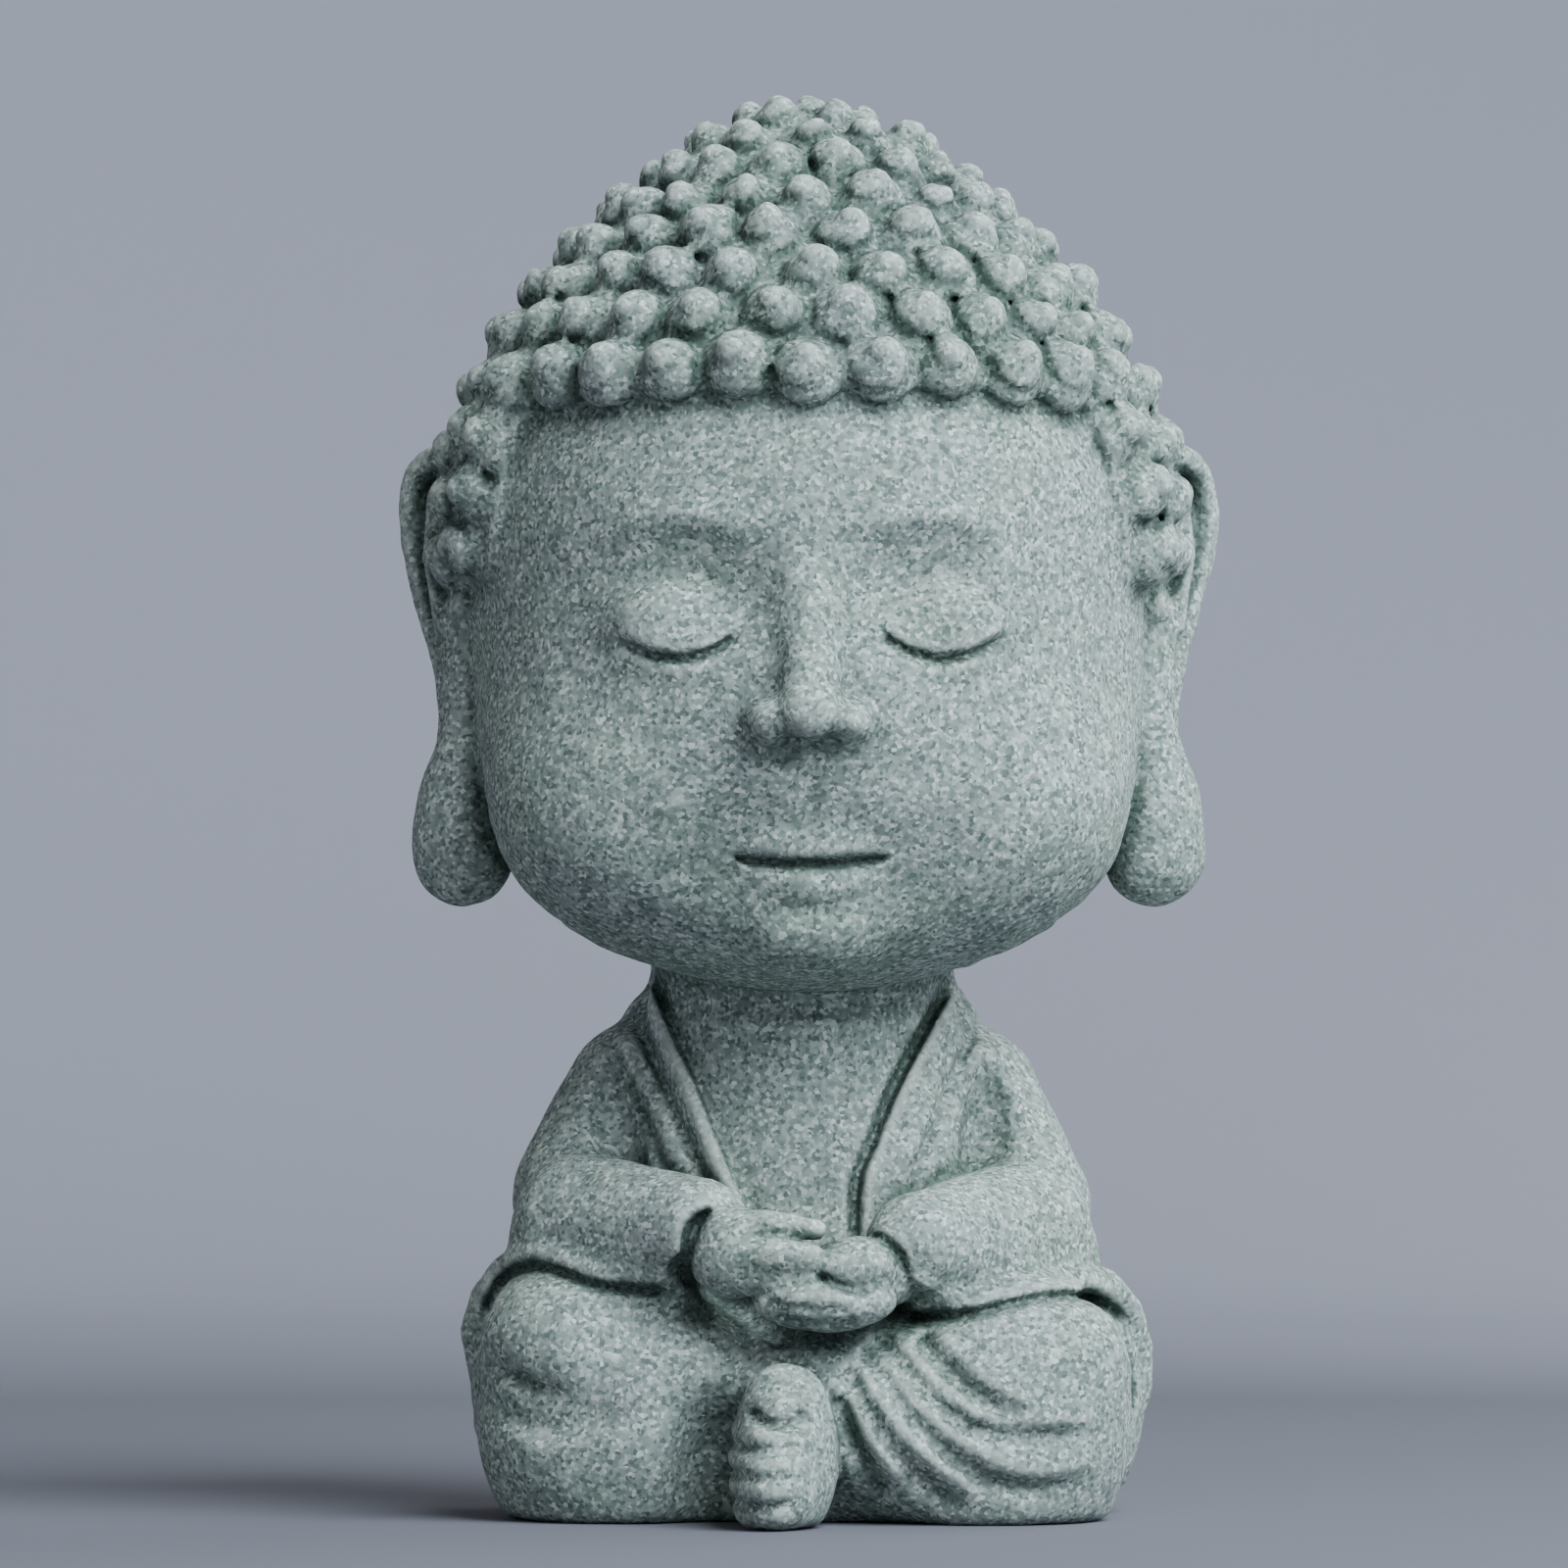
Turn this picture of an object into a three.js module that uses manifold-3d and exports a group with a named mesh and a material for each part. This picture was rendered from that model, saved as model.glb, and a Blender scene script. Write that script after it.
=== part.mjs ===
// A seated child figure with a large curl-covered head, long ears, an open robe, hands folded in
// its lap and one foot showing in front: cast in one piece of speckled stone, so it is one solid.
//
// Millimetres, +Z up. The figure faces -Y, +X is on the right of someone facing it, and the
// origin is the middle of the flat underside.
//
// Head and body are each described as a field: a function that is negative inside the stone and
// about the distance to its surface elsewhere. Each is then meshed from inside: points chosen
// where the carving needs them are pushed out to the surface, and joined in the order that they
// have round the middle.
import * as THREE from "three";
import { ConvexHull } from "three/addons/math/ConvexHull.js";
import { mergeVertices } from "three/addons/utils/BufferGeometryUtils.js";
import Module from "manifold-3d";

const { clamp, degToRad, lerp, radToDeg, smoothstep } = THREE.MathUtils;

// ---- Driving dimensions ------------------------------------------------------------------

const HEIGHT = 180; // underside to the tip of the top curl
const CHIN = 67; // height of the underside of the chin
const SKULL_RADIUS = 44; // half the head's width under the curls
const DOME_BASE = 124; // where the head is widest under the curls
const KNEE_SPREAD = 42; // half the width across the knees
const CURL_RADIUS = 4.4; // one curl of hair
const CURL_PITCH = 8.3; // from curl to curl along a row
const ROW_PITCH = 7.5; // from row to row
const STONE = { color: 0x8b9a95, roughness: 0.92, metalness: 0 };

// Places on the face by the usual canon for a child's head: the brow halfway up, and the eyes,
// the base of the nose and the mouth at quarters of the way from there down to the chin.
const BROW = (HEIGHT + CHIN) / 2;
const QUARTER = (BROW - CHIN) / 4;
const EYES = BROW - QUARTER;
const NOSE_BASE = EYES - QUARTER;
const MOUTH = NOSE_BASE - QUARTER;
const EYE_WIDTH = (2 * SKULL_RADIUS) / 5.5; // the head is five and a half eyes wide

// ---- Fields ------------------------------------------------------------------------------

const ellipsoid =
  ([cx, cy, cz], [rx, ry, rz]) =>
  (x, y, z) => {
    const u = (x - cx) / rx;
    const v = (y - cy) / ry;
    const w = (z - cz) / rz;
    const scaled = Math.hypot(u, v, w);
    const slope = Math.hypot(u / rx, v / ry, w / rz);
    return slope < 1e-6 ? -Math.min(rx, ry, rz) : (scaled * (scaled - 1)) / slope;
  };

// A dome that rises to a blunt point: (across / radius)^sharpness + (up / rise)^2 = 1.
const dome =
  ([cx, cy, cz], radius, rise, sharpness) =>
  (x, y, z) => {
    const across = Math.max(Math.hypot(x - cx, y - cy), 0.5) / radius;
    const up = Math.abs(z - cz) / rise;
    const value = across ** sharpness + up ** 2 - 1;
    const slope = Math.hypot((sharpness * across ** (sharpness - 1)) / radius, (2 * up) / rise);
    return value / slope;
  };

// A round bar through points, its radius going evenly from one point's to the next one's. Far
// from the bar the distance to the ball that holds it will do.
function limb(points, radii) {
  const middle = points.reduce((sum, p) => sum.map((s, i) => s + p[i] / points.length), [0, 0, 0]);
  const reach = Math.max(
    ...points.map((p, i) => Math.hypot(...p.map((c, k) => c - middle[k])) + radii[i]),
  );
  return (x, y, z) => {
    const away = Math.hypot(x - middle[0], y - middle[1], z - middle[2]) - reach;
    if (away > 6) return away;
    let nearest = Infinity;
    for (let i = 0; i + 1 < points.length; i++) {
      const [ax, ay, az] = points[i];
      const [bx, by, bz] = [points[i + 1][0] - ax, points[i + 1][1] - ay, points[i + 1][2] - az];
      const along = ((x - ax) * bx + (y - ay) * by + (z - az) * bz) / (bx * bx + by * by + bz * bz);
      const t = clamp(along, 0, 1);
      const gap = Math.hypot(x - ax - bx * t, y - ay - by * t, z - az - bz * t);
      nearest = Math.min(nearest, gap - lerp(radii[i], radii[i + 1], t));
    }
    return nearest;
  };
}

const softMin = (a, b, soft) => {
  const near = Math.max(soft - Math.abs(a - b), 0) / soft;
  return Math.min(a, b) - (near * near * soft) / 4;
};
const joined =
  (soft, ...forms) =>
  (x, y, z) =>
    forms.reduce((found, form) => softMin(found, form(x, y, z), soft), 1e3);
const carved =
  (form, soft, ...cutters) =>
  (x, y, z) =>
    cutters.reduce((found, cut) => -softMin(-found, cut(x, y, z), soft), form(x, y, z));
const bothSides = (form) => (x, y, z) => form(Math.abs(x), y, z);

// The surface straight in from the front, or from the back, at a place given across and up.
const FRONT = -1;
const BACK = 1;
function surfaceAt(field, x, z, side = FRONT) {
  let y = side * 60;
  let gap = field(x, y, z);
  while (gap > 0.02 && y * side > -15) {
    y -= side * Math.max(gap * 0.7, 0.04);
    gap = field(x, y, z);
  }
  return y;
}

// How far from a centre, along a unit direction, the outermost surface lies.
function reachOf(field, centre, direction) {
  const at = (t) =>
    field(centre.x + direction.x * t, centre.y + direction.y * t, centre.z + direction.z * t);
  let reach = 100;
  let gap = at(reach);
  while (gap > 0.01 && reach > 1) {
    reach -= Math.max(gap * 0.7, 0.03);
    gap = at(reach);
  }
  return reach;
}

function normalOf(field, { x, y, z }) {
  const step = 0.2;
  return new THREE.Vector3(
    field(x + step, y, z) - field(x - step, y, z),
    field(x, y + step, z) - field(x, y - step, z),
    field(x, y, z + step) - field(x, y, z - step),
  ).normalize();
}

// A smooth line through places given across and up, and the same line laid on a surface.
const smoothLine = (path, steps) =>
  new THREE.SplineCurve(path.map((place) => new THREE.Vector2(...place))).getSpacedPoints(steps);
const laidOn = (field, path, sink, side, steps = 8) =>
  smoothLine(path, steps).map(({ x, y: z }) => [x, surfaceAt(field, x, z, side) - side * sink, z]);
const cord = (field, path, radius, sink, side = FRONT) => {
  const line = laidOn(field, path, sink, side);
  return limb(line, line.map(() => radius));
};

// ---- Head --------------------------------------------------------------------------------

const HEAD_CENTRE = new THREE.Vector3(0, -1, 112);
const cranium = ellipsoid([0, 0, 118], [SKULL_RADIUS - 1, SKULL_RADIUS - 1, 46]);
const scalp = joined(1, dome([0, -1, DOME_BASE], SKULL_RADIUS, 51.5, 1.35), cranium);

const LID_LINE = [-1, -0.5, 0, 0.5, 1].map((t) => [
  EYE_WIDTH * (1 + t / 2),
  EYES - 3.4 + 3.2 * t * t,
]);
const BROW_LINE = [-1, 0, 1].map((t) => [EYE_WIDTH * (1 + 0.7 * t), BROW - 0.5 - 2.6 * t * t]);
const UPPER_LIP = [-9, -4, 0, 4, 9].map((x) => [x, MOUTH + 1.9 - Math.abs(x) * 0.12]);
const LOWER_LIP = [-6.5, 0, 6.5].map((x) => [x, MOUTH - 2.5 + Math.abs(x) * 0.14]);
const LIP_PARTING = [-10.5, -5, 0, 5, 10.5].map((x) => [x, MOUTH - 0.4 + Math.abs(x) * 0.08]);

function faceField() {
  const cheeks = ellipsoid([0, -5, 96.5], [40.5, 38.5, 28]);
  const jaw = ellipsoid([0, -19, CHIN + 9.5], [22, 18, 10]);
  const sockets = bothSides(ellipsoid([EYE_WIDTH, -48.5, EYES + 4.5], [11, 9.5, 7]));
  const lids = bothSides(ellipsoid([EYE_WIDTH, -34.4, EYES + 0.6], [8.6, 6.6, 6.2]));
  const bridge = limb([[0, -36.6, BROW - 5], [0, -44.4, NOSE_BASE + 4]], [3.2, 3.4]);
  const tip = ellipsoid([0, -45, NOSE_BASE + 2.8], [4, 3.6, 3.2]);
  const wings = bothSides(ellipsoid([4.4, -43.6, NOSE_BASE + 2.2], [2.8, 3, 2.5]));
  const chin = ellipsoid([0, -31, CHIN + 6], [8, 6.4, 5]);
  const skin = carved(joined(9, cranium, cheeks, jaw), 5, sockets);
  const lidded = joined(1.6, skin, lids);
  const brows = bothSides(cord(lidded, BROW_LINE, 2.2, 1.7));
  const nose = joined(2, bridge, tip, wings);
  const lips = [cord(skin, UPPER_LIP, 1.9, 0.7), cord(skin, LOWER_LIP, 2.2, 0.9)];
  const full = joined(2, joined(3.5, lidded, brows, chin), nose, ...lips);
  const grooves = [bothSides(cord(full, LID_LINE, 0.8, 0.1)), cord(full, LIP_PARTING, 0.7, 0)];
  return carved(full, 0.8, ...grooves);
}
const face = faceField();

// The lowest height of the hair, by the angle from straight ahead: level over the forehead, down
// the temples in front of the ears, and down to the nape behind them.
function hairline(fromFront) {
  const temple = smoothstep(fromFront, 54, 70);
  const nape = smoothstep(fromFront, 96, 112);
  return lerp(lerp(141, 121, temple), 87, nape);
}
const degreesFromFront = ({ x, y }) => Math.abs(radToDeg(Math.atan2(x, HEAD_CENTRE.y - y)));
const onHair = (place) => place.z > hairline(degreesFromFront(place));

// Rows of curls down the scalp, each row a ring, and every other row half a curl round.
function curlPlaces() {
  const places = [];
  const onScalp = (polar, round) => {
    const direction = new THREE.Vector3().setFromSphericalCoords(1, polar, round);
    const upright = direction.applyAxisAngle(new THREE.Vector3(1, 0, 0), Math.PI / 2);
    return upright.multiplyScalar(reachOf(scalp, HEAD_CENTRE, upright)).add(HEAD_CENTRE);
  };
  const step = degToRad(0.25);
  let row = 0;
  let travelled = 0;
  let last = onScalp(0, 0);
  for (let polar = 0; polar < Math.PI * 0.72; polar += step) {
    const here = onScalp(polar, 0);
    travelled += here.distanceTo(last);
    last = here;
    if (travelled < row * ROW_PITCH) continue;
    const girth = 2 * Math.PI * Math.hypot(here.x, here.y - HEAD_CENTRE.y);
    const count = Math.max(1, Math.round(girth / CURL_PITCH));
    for (let i = 0; i < count; i++) {
      const place = onScalp(polar, ((i + (row % 2) / 2) / count) * 2 * Math.PI);
      if (onHair(place.clone().setZ(place.z - CURL_RADIUS * 0.7))) places.push(place);
    }
    row += 1;
  }
  return places;
}

// ---- Body --------------------------------------------------------------------------------

const BODY_CENTRE = new THREE.Vector3(0, 0, 24);
const torso = ellipsoid([0, 4, 34], [27, 20.5, 36]);
const neck = limb([[0, 2, 50], [0, 1, 74]], [16.5, 17]);
const seat = ellipsoid([0, 6, 6], [38, 28, 29]);
const lap = ellipsoid([0, -11, 11], [17, 14, 14]);
const upperArms = bothSides(limb([[21, 4, 53], [26.5, 0, 38]], [10, 10.5]));
const forearms = bothSides(limb([[28, -5, 38], [14.5, -25, 36]], [8.4, 6]));
const sleeveFalls = bothSides(ellipsoid([36, 1, 17], [7.6, 17, 17]));
const shins = bothSides(limb([[27, -16.5, 14], [13, -20, 12.5]], [13.5, 11]));
const leftKnee = ellipsoid([-24.5, -12, 9], [KNEE_SPREAD - 24.5, 20, 24]);
const rightKnee = ellipsoid([23, -12, 9], [KNEE_SPREAD - 23, 20.5, 24]);

// Lines of the dress, each across and up: the two bands of the collar, the hems of the sleeves
// over the knees, and the folds that sweep from beside the foot down and round under each knee.
const BANDS = [
  [[-18.6, 62.5], [-18, 57.5], [-16, 51], [-12.7, 44.6], [-9.6, 40]],
  [[18.4, 62.5], [16, 56.5], [13.6, 50.3], [11.6, 44], [10.2, 39]],
];
const HEMS = [
  [[-39, 29.6], [-34.5, 32.6], [-29, 31.8], [-22, 30.6], [-15.5, 30.6]],
  [[38, 28.8], [33, 30.4], [27, 30.2], [20, 28.4], [13, 29.4]],
];
const FOLDS = [
  [[14, 25], [17.4, 20.4], [23, 15.8], [30, 13.4], [36.5, 15]],
  [[11.4, 24.6], [15.4, 17.8], [21, 12.4], [28.5, 9.4], [36.5, 10.2]],
  [[8.4, 23.6], [11.8, 15.4], [17.4, 9], [25, 5.2], [33, 5]],
  [[5.6, 22.6], [8.4, 14.6], [12.6, 8], [18.6, 2.6]],
  [[-39.4, 22], [-38, 17.4], [-34, 13.4], [-28, 12.8]],
  [[-38.6, 13.6], [-33, 8.6], [-25, 7], [-18, 9.4]],
];
const BACK_FOLDS = [-24, -12, 0, 12, 24].map((x) => [[x * 0.45, 52], [x * 0.85, 28], [x, 2]]);
const robe = joined(4, torso, neck, seat, lap);
const sleeves = joined(4, upperArms, forearms);
const legs = joined(1.5, joined(4, leftKnee, rightKnee, shins), sleeveFalls);
const bands = BANDS.map((path) => cord(joined(2, robe, upperArms), path, 3.8, 2.4));
const hems = HEMS.map((path) => cord(joined(2, sleeves, legs), path, 1.5, 0.5));
const folds = FOLDS.map((path) => cord(legs, path, 1.6, 0.6));
const backFolds = BACK_FOLDS.map((path) => cord(robe, path, 3.4, 1.6, BACK));
const clothed = joined(1, joined(2, robe, ...backFolds), sleeves, legs, ...bands, ...hems, ...folds);

// The right hand lies on the left one, whose fingers show below it.
function handsField() {
  const upperPalm = ellipsoid([-9, -28.5, 33.6], [7, 6, 5.6]);
  const lowerPalm = ellipsoid([7, -29, 30.6], [6.6, 6.4, 5]);
  const upperFingers = [0, 1, 2].map((i) =>
    limb([[-8, -32.6 - i, 36.4 - 2.7 * i], [0.6, -34 - i, 36 - 2.5 * i]], [1.9, 1.5]),
  );
  const lowerFingers = [0, 1].map((i) =>
    limb([[9, -33 - i, 27.8 - 2.3 * i], [-5.4 + 1.6 * i, -36, 27.4 - 2.3 * i]], [2.3, 1.7]),
  );
  const thumb = limb([[10, -31.5, 32.4], [2, -37, 31.4]], [2.5, 1.8]);
  return joined(0.8, upperPalm, lowerPalm, thumb, ...upperFingers, ...lowerFingers);
}

// One foot lies on its side in front, its toes one above another.
const FOOT_ACROSS = -2.9;
const TOES = [9.6, 6.6, 3.8, 1];
function footField() {
  const sole = ellipsoid([FOOT_ACROSS, -27, 10.5], [6.8, 10.4, 10.9]);
  const bigToe = ellipsoid([FOOT_ACROSS - 0.6, -35, 14.6], [4.8, 3.8, 3.6]);
  const toes = TOES.map((z) => ellipsoid([FOOT_ACROSS - 1.6, -35, z], [4.8, 4, 1.7]));
  return joined(0.8, sole, bigToe, ...toes);
}
const body = joined(0.6, clothed, handsField(), footField());

// ---- Meshing -----------------------------------------------------------------------------

// Points pushed out from a centre to the surface of a field, kept apart by a spacing: where two
// would be too near each other, the one asked for first stays.
class Scatter {
  constructor(field, centre) {
    this.field = field;
    this.centre = centre;
    this.points = [];
    this.directions = [];
  }

  place(point) {
    this.points.push(point);
    this.directions.push(point.clone().sub(this.centre).normalize());
  }

  push(direction, spacing, field = this.field) {
    const point = direction
      .clone()
      .multiplyScalar(reachOf(field, this.centre, direction))
      .add(this.centre);
    const clear = (other) => other.distanceToSquared(point) > spacing * spacing;
    if (this.points.every(clear)) this.place(point);
  }

  pushAt(x, y, z, spacing) {
    this.push(new THREE.Vector3(x, y, z).sub(this.centre).normalize(), spacing);
  }

  pushOn(x, z, spacing, side = FRONT) {
    this.pushAt(x, surfaceAt(this.field, x, z, side), z, spacing);
  }

  // Points along a line seen from the front or the back, and along lines beside it.
  trace(path, every, besides, spacing, side = FRONT) {
    const length = new THREE.SplineCurve(path.map((p) => new THREE.Vector2(...p))).getLength();
    const line = smoothLine(path, Math.ceil(length / every));
    for (const beside of besides) {
      line.forEach((here, i) => {
        const next = line[Math.min(i + 1, line.length - 1)];
        const last = line[Math.max(i - 1, 0)];
        const across = new THREE.Vector2(last.y - next.y, next.x - last.x).normalize();
        const { x, y: z } = here.clone().addScaledVector(across, beside);
        this.pushOn(x, z, spacing, side);
      });
    }
  }

  // The closed surface through all the points.
  surface() {
    const number = new Map(this.directions.map((direction, i) => [direction, i]));
    const positions = [];
    for (const { edge } of new ConvexHull().setFromPoints(this.directions).faces) {
      for (const corner of [edge.prev, edge, edge.next]) {
        positions.push(...this.points[number.get(corner.head().point)].toArray());
      }
    }
    return new THREE.BufferGeometry().setAttribute(
      "position",
      new THREE.Float32BufferAttribute(positions, 3),
    );
  }
}

const mirrored = (path) => path.map(([x, z]) => [-x, z]);
const around = (degrees, z) =>
  new THREE.Vector3(Math.sin(degToRad(degrees)), -Math.cos(degToRad(degrees)), z).normalize();

// One curl: its tip and a ring of points round its shoulder.
const CURL_SIDES = 6;
function addCurl(scatter, place) {
  const normal = normalOf(scalp, place);
  const along = new THREE.Vector3(0, 0, 1).cross(normal).normalize();
  if (along.lengthSq() < 0.5) along.set(1, 0, 0);
  const up = normal.clone().cross(along);
  scatter.place(place.clone().addScaledVector(normal, CURL_RADIUS));
  for (let i = 0; i < CURL_SIDES; i++) {
    const round = (i / CURL_SIDES) * 2 * Math.PI;
    scatter.place(
      place
        .clone()
        .addScaledVector(along, Math.cos(round) * CURL_RADIUS * 0.8)
        .addScaledVector(up, Math.sin(round) * CURL_RADIUS * 0.8)
        .addScaledVector(normal, CURL_RADIUS * 0.55),
    );
  }
}

// The foot of the curls: the valley in the middle of each three neighbours, and where the hair
// ends, a ring round the curls of the last row.
function addValleys(scatter, curls) {
  const feet = [];
  const add = (place) => {
    const clearOfCurls = curls.every((curl) => curl.distanceTo(place) > CURL_RADIUS * 0.93);
    if (!clearOfCurls || feet.some((foot) => foot.distanceTo(place) < 3)) return;
    feet.push(place);
    const direction = place.clone().sub(HEAD_CENTRE).normalize();
    scatter.push(direction, 0.5, onHair(place) ? scalp : face);
  };
  const tips = curls.map((place) => place.clone().sub(HEAD_CENTRE).normalize());
  const number = new Map(tips.map((tip, i) => [tip, i]));
  for (const { edge } of new ConvexHull().setFromPoints(tips).faces) {
    const corners = [edge, edge.next, edge.prev].map((e) => curls[number.get(e.head().point)]);
    const sides = corners.map((corner, i) => corner.distanceTo(corners[(i + 1) % 3]));
    if (Math.max(...sides) > CURL_PITCH * 1.5) continue;
    const middle = new THREE.Vector3();
    for (const corner of corners) middle.addScaledVector(corner, 1 / 3);
    add(middle);
  }
  for (const curl of curls) {
    const normal = normalOf(scalp, curl);
    const along = new THREE.Vector3(0, 0, 1).cross(normal).normalize();
    for (let round = 0; round < 360; round += 22.5) {
      const out = along.clone().applyAxisAngle(normal, degToRad(round));
      add(curl.clone().addScaledVector(out, CURL_RADIUS * 1.08));
    }
  }
}

function headGeometry() {
  const scatter = new Scatter(face, HEAD_CENTRE);
  const curls = curlPlaces();
  for (const place of curls) addCurl(scatter, place);
  addValleys(scatter, curls);
  for (const line of [LID_LINE, mirrored(LID_LINE)]) {
    scatter.trace(line, 2.3, [0, -1.3, 1.3], 1);
    scatter.trace(line, 3.2, [3.8, 6.4, 9], 1.8);
  }
  for (const line of [BROW_LINE, mirrored(BROW_LINE)]) scatter.trace(line, 3, [0, 2.6, -2], 1.6);
  scatter.trace(LIP_PARTING, 2.3, [0], 1);
  scatter.trace(UPPER_LIP, 2.3, [0, 2], 1);
  scatter.trace(LOWER_LIP, 2.3, [0, -2.4], 1);
  for (const x of [0, -3, 3, -5.6, 5.6, -8, 8]) {
    for (let z = NOSE_BASE - 1.4; z < BROW; z += Math.abs(x) > 4 ? 3 : 2.2) {
      scatter.pushOn(x, z, 1.6);
    }
  }
  for (let up = -1.6; up < 1.2; up += 0.1) {
    for (let degrees = -180; degrees < 180; degrees += 5) {
      const direction = around(degrees, up);
      const front = Math.abs(degrees) < 75;
      const reach = direction.clone().multiplyScalar(43).add(HEAD_CENTRE);
      if (reach.z < hairline(Math.abs(degrees)) - 2) scatter.push(direction, front ? 4.2 : 7);
    }
  }
  scatter.push(new THREE.Vector3(0, 0, -1), 3);
  return scatter.surface();
}

function bodyGeometry() {
  const scatter = new Scatter(body, BODY_CENTRE);
  for (const path of BANDS) scatter.trace(path, 3, [0, -3, 3], 1.4);
  for (const path of HEMS) scatter.trace(path, 2.6, [0, -1.6, 1.8], 1.2);
  for (const path of FOLDS) scatter.trace(path, 2.6, [0, -1.7, 1.7], 1.3);
  for (const path of BACK_FOLDS) scatter.trace(path, 5, [0, -3.6, 3.6], 2.4, BACK);
  const over = (x0, x1, z0, z1, spacing) => {
    for (let z = z0; z <= z1; z += spacing) {
      for (let x = x0; x <= x1; x += spacing * 1.2) {
        scatter.pushOn(x, z, spacing);
      }
    }
  };
  over(-16, 13.5, 23, 41, 1.5);
  // Along and between the toes.
  TOES.forEach((z, i) => {
    const above = i > 0 ? (z + TOES[i - 1]) / 2 : z + TOES[0] - TOES[1] - 1;
    for (const level of [z, above]) {
      for (let x = -10; x <= 5; x += 2.4) scatter.pushOn(x, level, 1.2);
    }
  });
  over(-10, 5, 12.4, 22.5, 2);
  for (let z = -9; z < 72; z += 1) {
    for (let degrees = -180; degrees < 180; degrees += 2.5) {
      const reach = z > 50 ? 26 : 38;
      const { x, y } = around(degrees, 0).multiplyScalar(reach);
      scatter.pushAt(x, y, z, Math.abs(degrees) < 105 ? 3 : 5.5);
    }
  }
  for (const up of [-1, 1]) scatter.push(new THREE.Vector3(0, 0, up), 3);
  return scatter.surface();
}

// ---- Ears --------------------------------------------------------------------------------

const EAR_TOP = 134;
const LOBE_BOTTOM = 77;
const EAR_THICKNESS = 5.4;
const EAR_BEVEL = 1.8;
const EAR_TURN = degToRad(38); // from straight out to the side, towards the back
const EAR_ROOT = new THREE.Vector3(39.4, -2, 0);
const LOBE = { across: 42.4, deep: 0.5, up: LOBE_BOTTOM + 9.2, radii: [5.8, 5.4, 9.2] };

function earOutline() {
  const shape = new THREE.Shape();
  shape.moveTo(-4, LOBE_BOTTOM + 22);
  shape.bezierCurveTo(-5, LOBE_BOTTOM + 8, -3, LOBE_BOTTOM + 3, 2, LOBE_BOTTOM + 3);
  shape.bezierCurveTo(8, LOBE_BOTTOM + 3, 8, LOBE_BOTTOM + 14, 6.4, LOBE_BOTTOM + 26);
  shape.bezierCurveTo(6, EAR_TOP - 22, 12.4, EAR_TOP - 14, 12, EAR_TOP - 5);
  shape.bezierCurveTo(11.4, EAR_TOP + 1, 3, EAR_TOP + 1, -3, EAR_TOP - 4);
  shape.lineTo(-5, EAR_TOP - 20);
  shape.closePath();
  return shape;
}
const earHollow = () =>
  new THREE.Shape().absellipse(5.6, EAR_TOP - 13.5, 3.6, 9, 0, 2 * Math.PI, false, -0.14);

const plate = (shape, thickness, bevel, curveSegments) =>
  new THREE.ExtrudeGeometry(shape, {
    depth: thickness - 2 * bevel,
    bevelEnabled: true,
    bevelThickness: bevel,
    bevelSize: bevel,
    bevelOffset: -bevel,
    bevelSegments: 2,
    curveSegments,
  })
    .translate(0, 0, bevel)
    .rotateX(Math.PI / 2);

// ---- Joining -----------------------------------------------------------------------------

const wasm = await Module();
wasm.setup();

function solidOf(geometry) {
  const bare = geometry.clone();
  for (const name of ["normal", "uv"]) bare.deleteAttribute(name);
  const merged = mergeVertices(bare, 1e-3);
  return new wasm.Manifold(
    new wasm.Mesh({
      numProp: 3,
      vertProperties: merged.attributes.position.array,
      triVerts: new Uint32Array(merged.index.array),
    }),
  );
}

function geometryOf(solid) {
  const { vertProperties, triVerts } = solid.getMesh();
  const geometry = new THREE.BufferGeometry()
    .setAttribute("position", new THREE.BufferAttribute(vertProperties, 3))
    .setIndex(new THREE.BufferAttribute(triVerts, 1));
  geometry.computeVertexNormals();
  return geometry;
}

// The ear on the right; the other is the same one mirrored.
function earSolid() {
  const turned = (geometry) => solidOf(geometry.rotateZ(EAR_TURN).translate(...EAR_ROOT));
  const outside = plate(earOutline(), EAR_THICKNESS, EAR_BEVEL, 7);
  const hollow = plate(earHollow(), 6, 1, 6).translate(0, -EAR_THICKNESS + 2, 0);
  const lobe = new THREE.SphereGeometry(1, 12, 8)
    .rotateX(Math.PI / 2)
    .scale(...LOBE.radii)
    .rotateZ(EAR_TURN)
    .translate(LOBE.across, LOBE.deep, LOBE.up);
  return turned(outside).subtract(turned(hollow)).add(solidOf(lobe));
}

const ear = earSolid();
const ground = new THREE.BoxGeometry(200, 200, 60).translate(0, 0, -30);
const figure = solidOf(bodyGeometry())
  .add(solidOf(headGeometry()))
  .add(ear)
  .add(ear.mirror([1, 0, 0]))
  .subtract(solidOf(ground));

const statue = new THREE.Mesh(geometryOf(figure), new THREE.MeshStandardMaterial(STONE));
statue.name = "statue";
const middle = new THREE.Box3().setFromObject(statue).getCenter(new THREE.Vector3());
statue.position.set(-middle.x, -middle.y, 0);

const object = new THREE.Group();
object.add(statue);
export default object;
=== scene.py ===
import math
from collections import namedtuple

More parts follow.
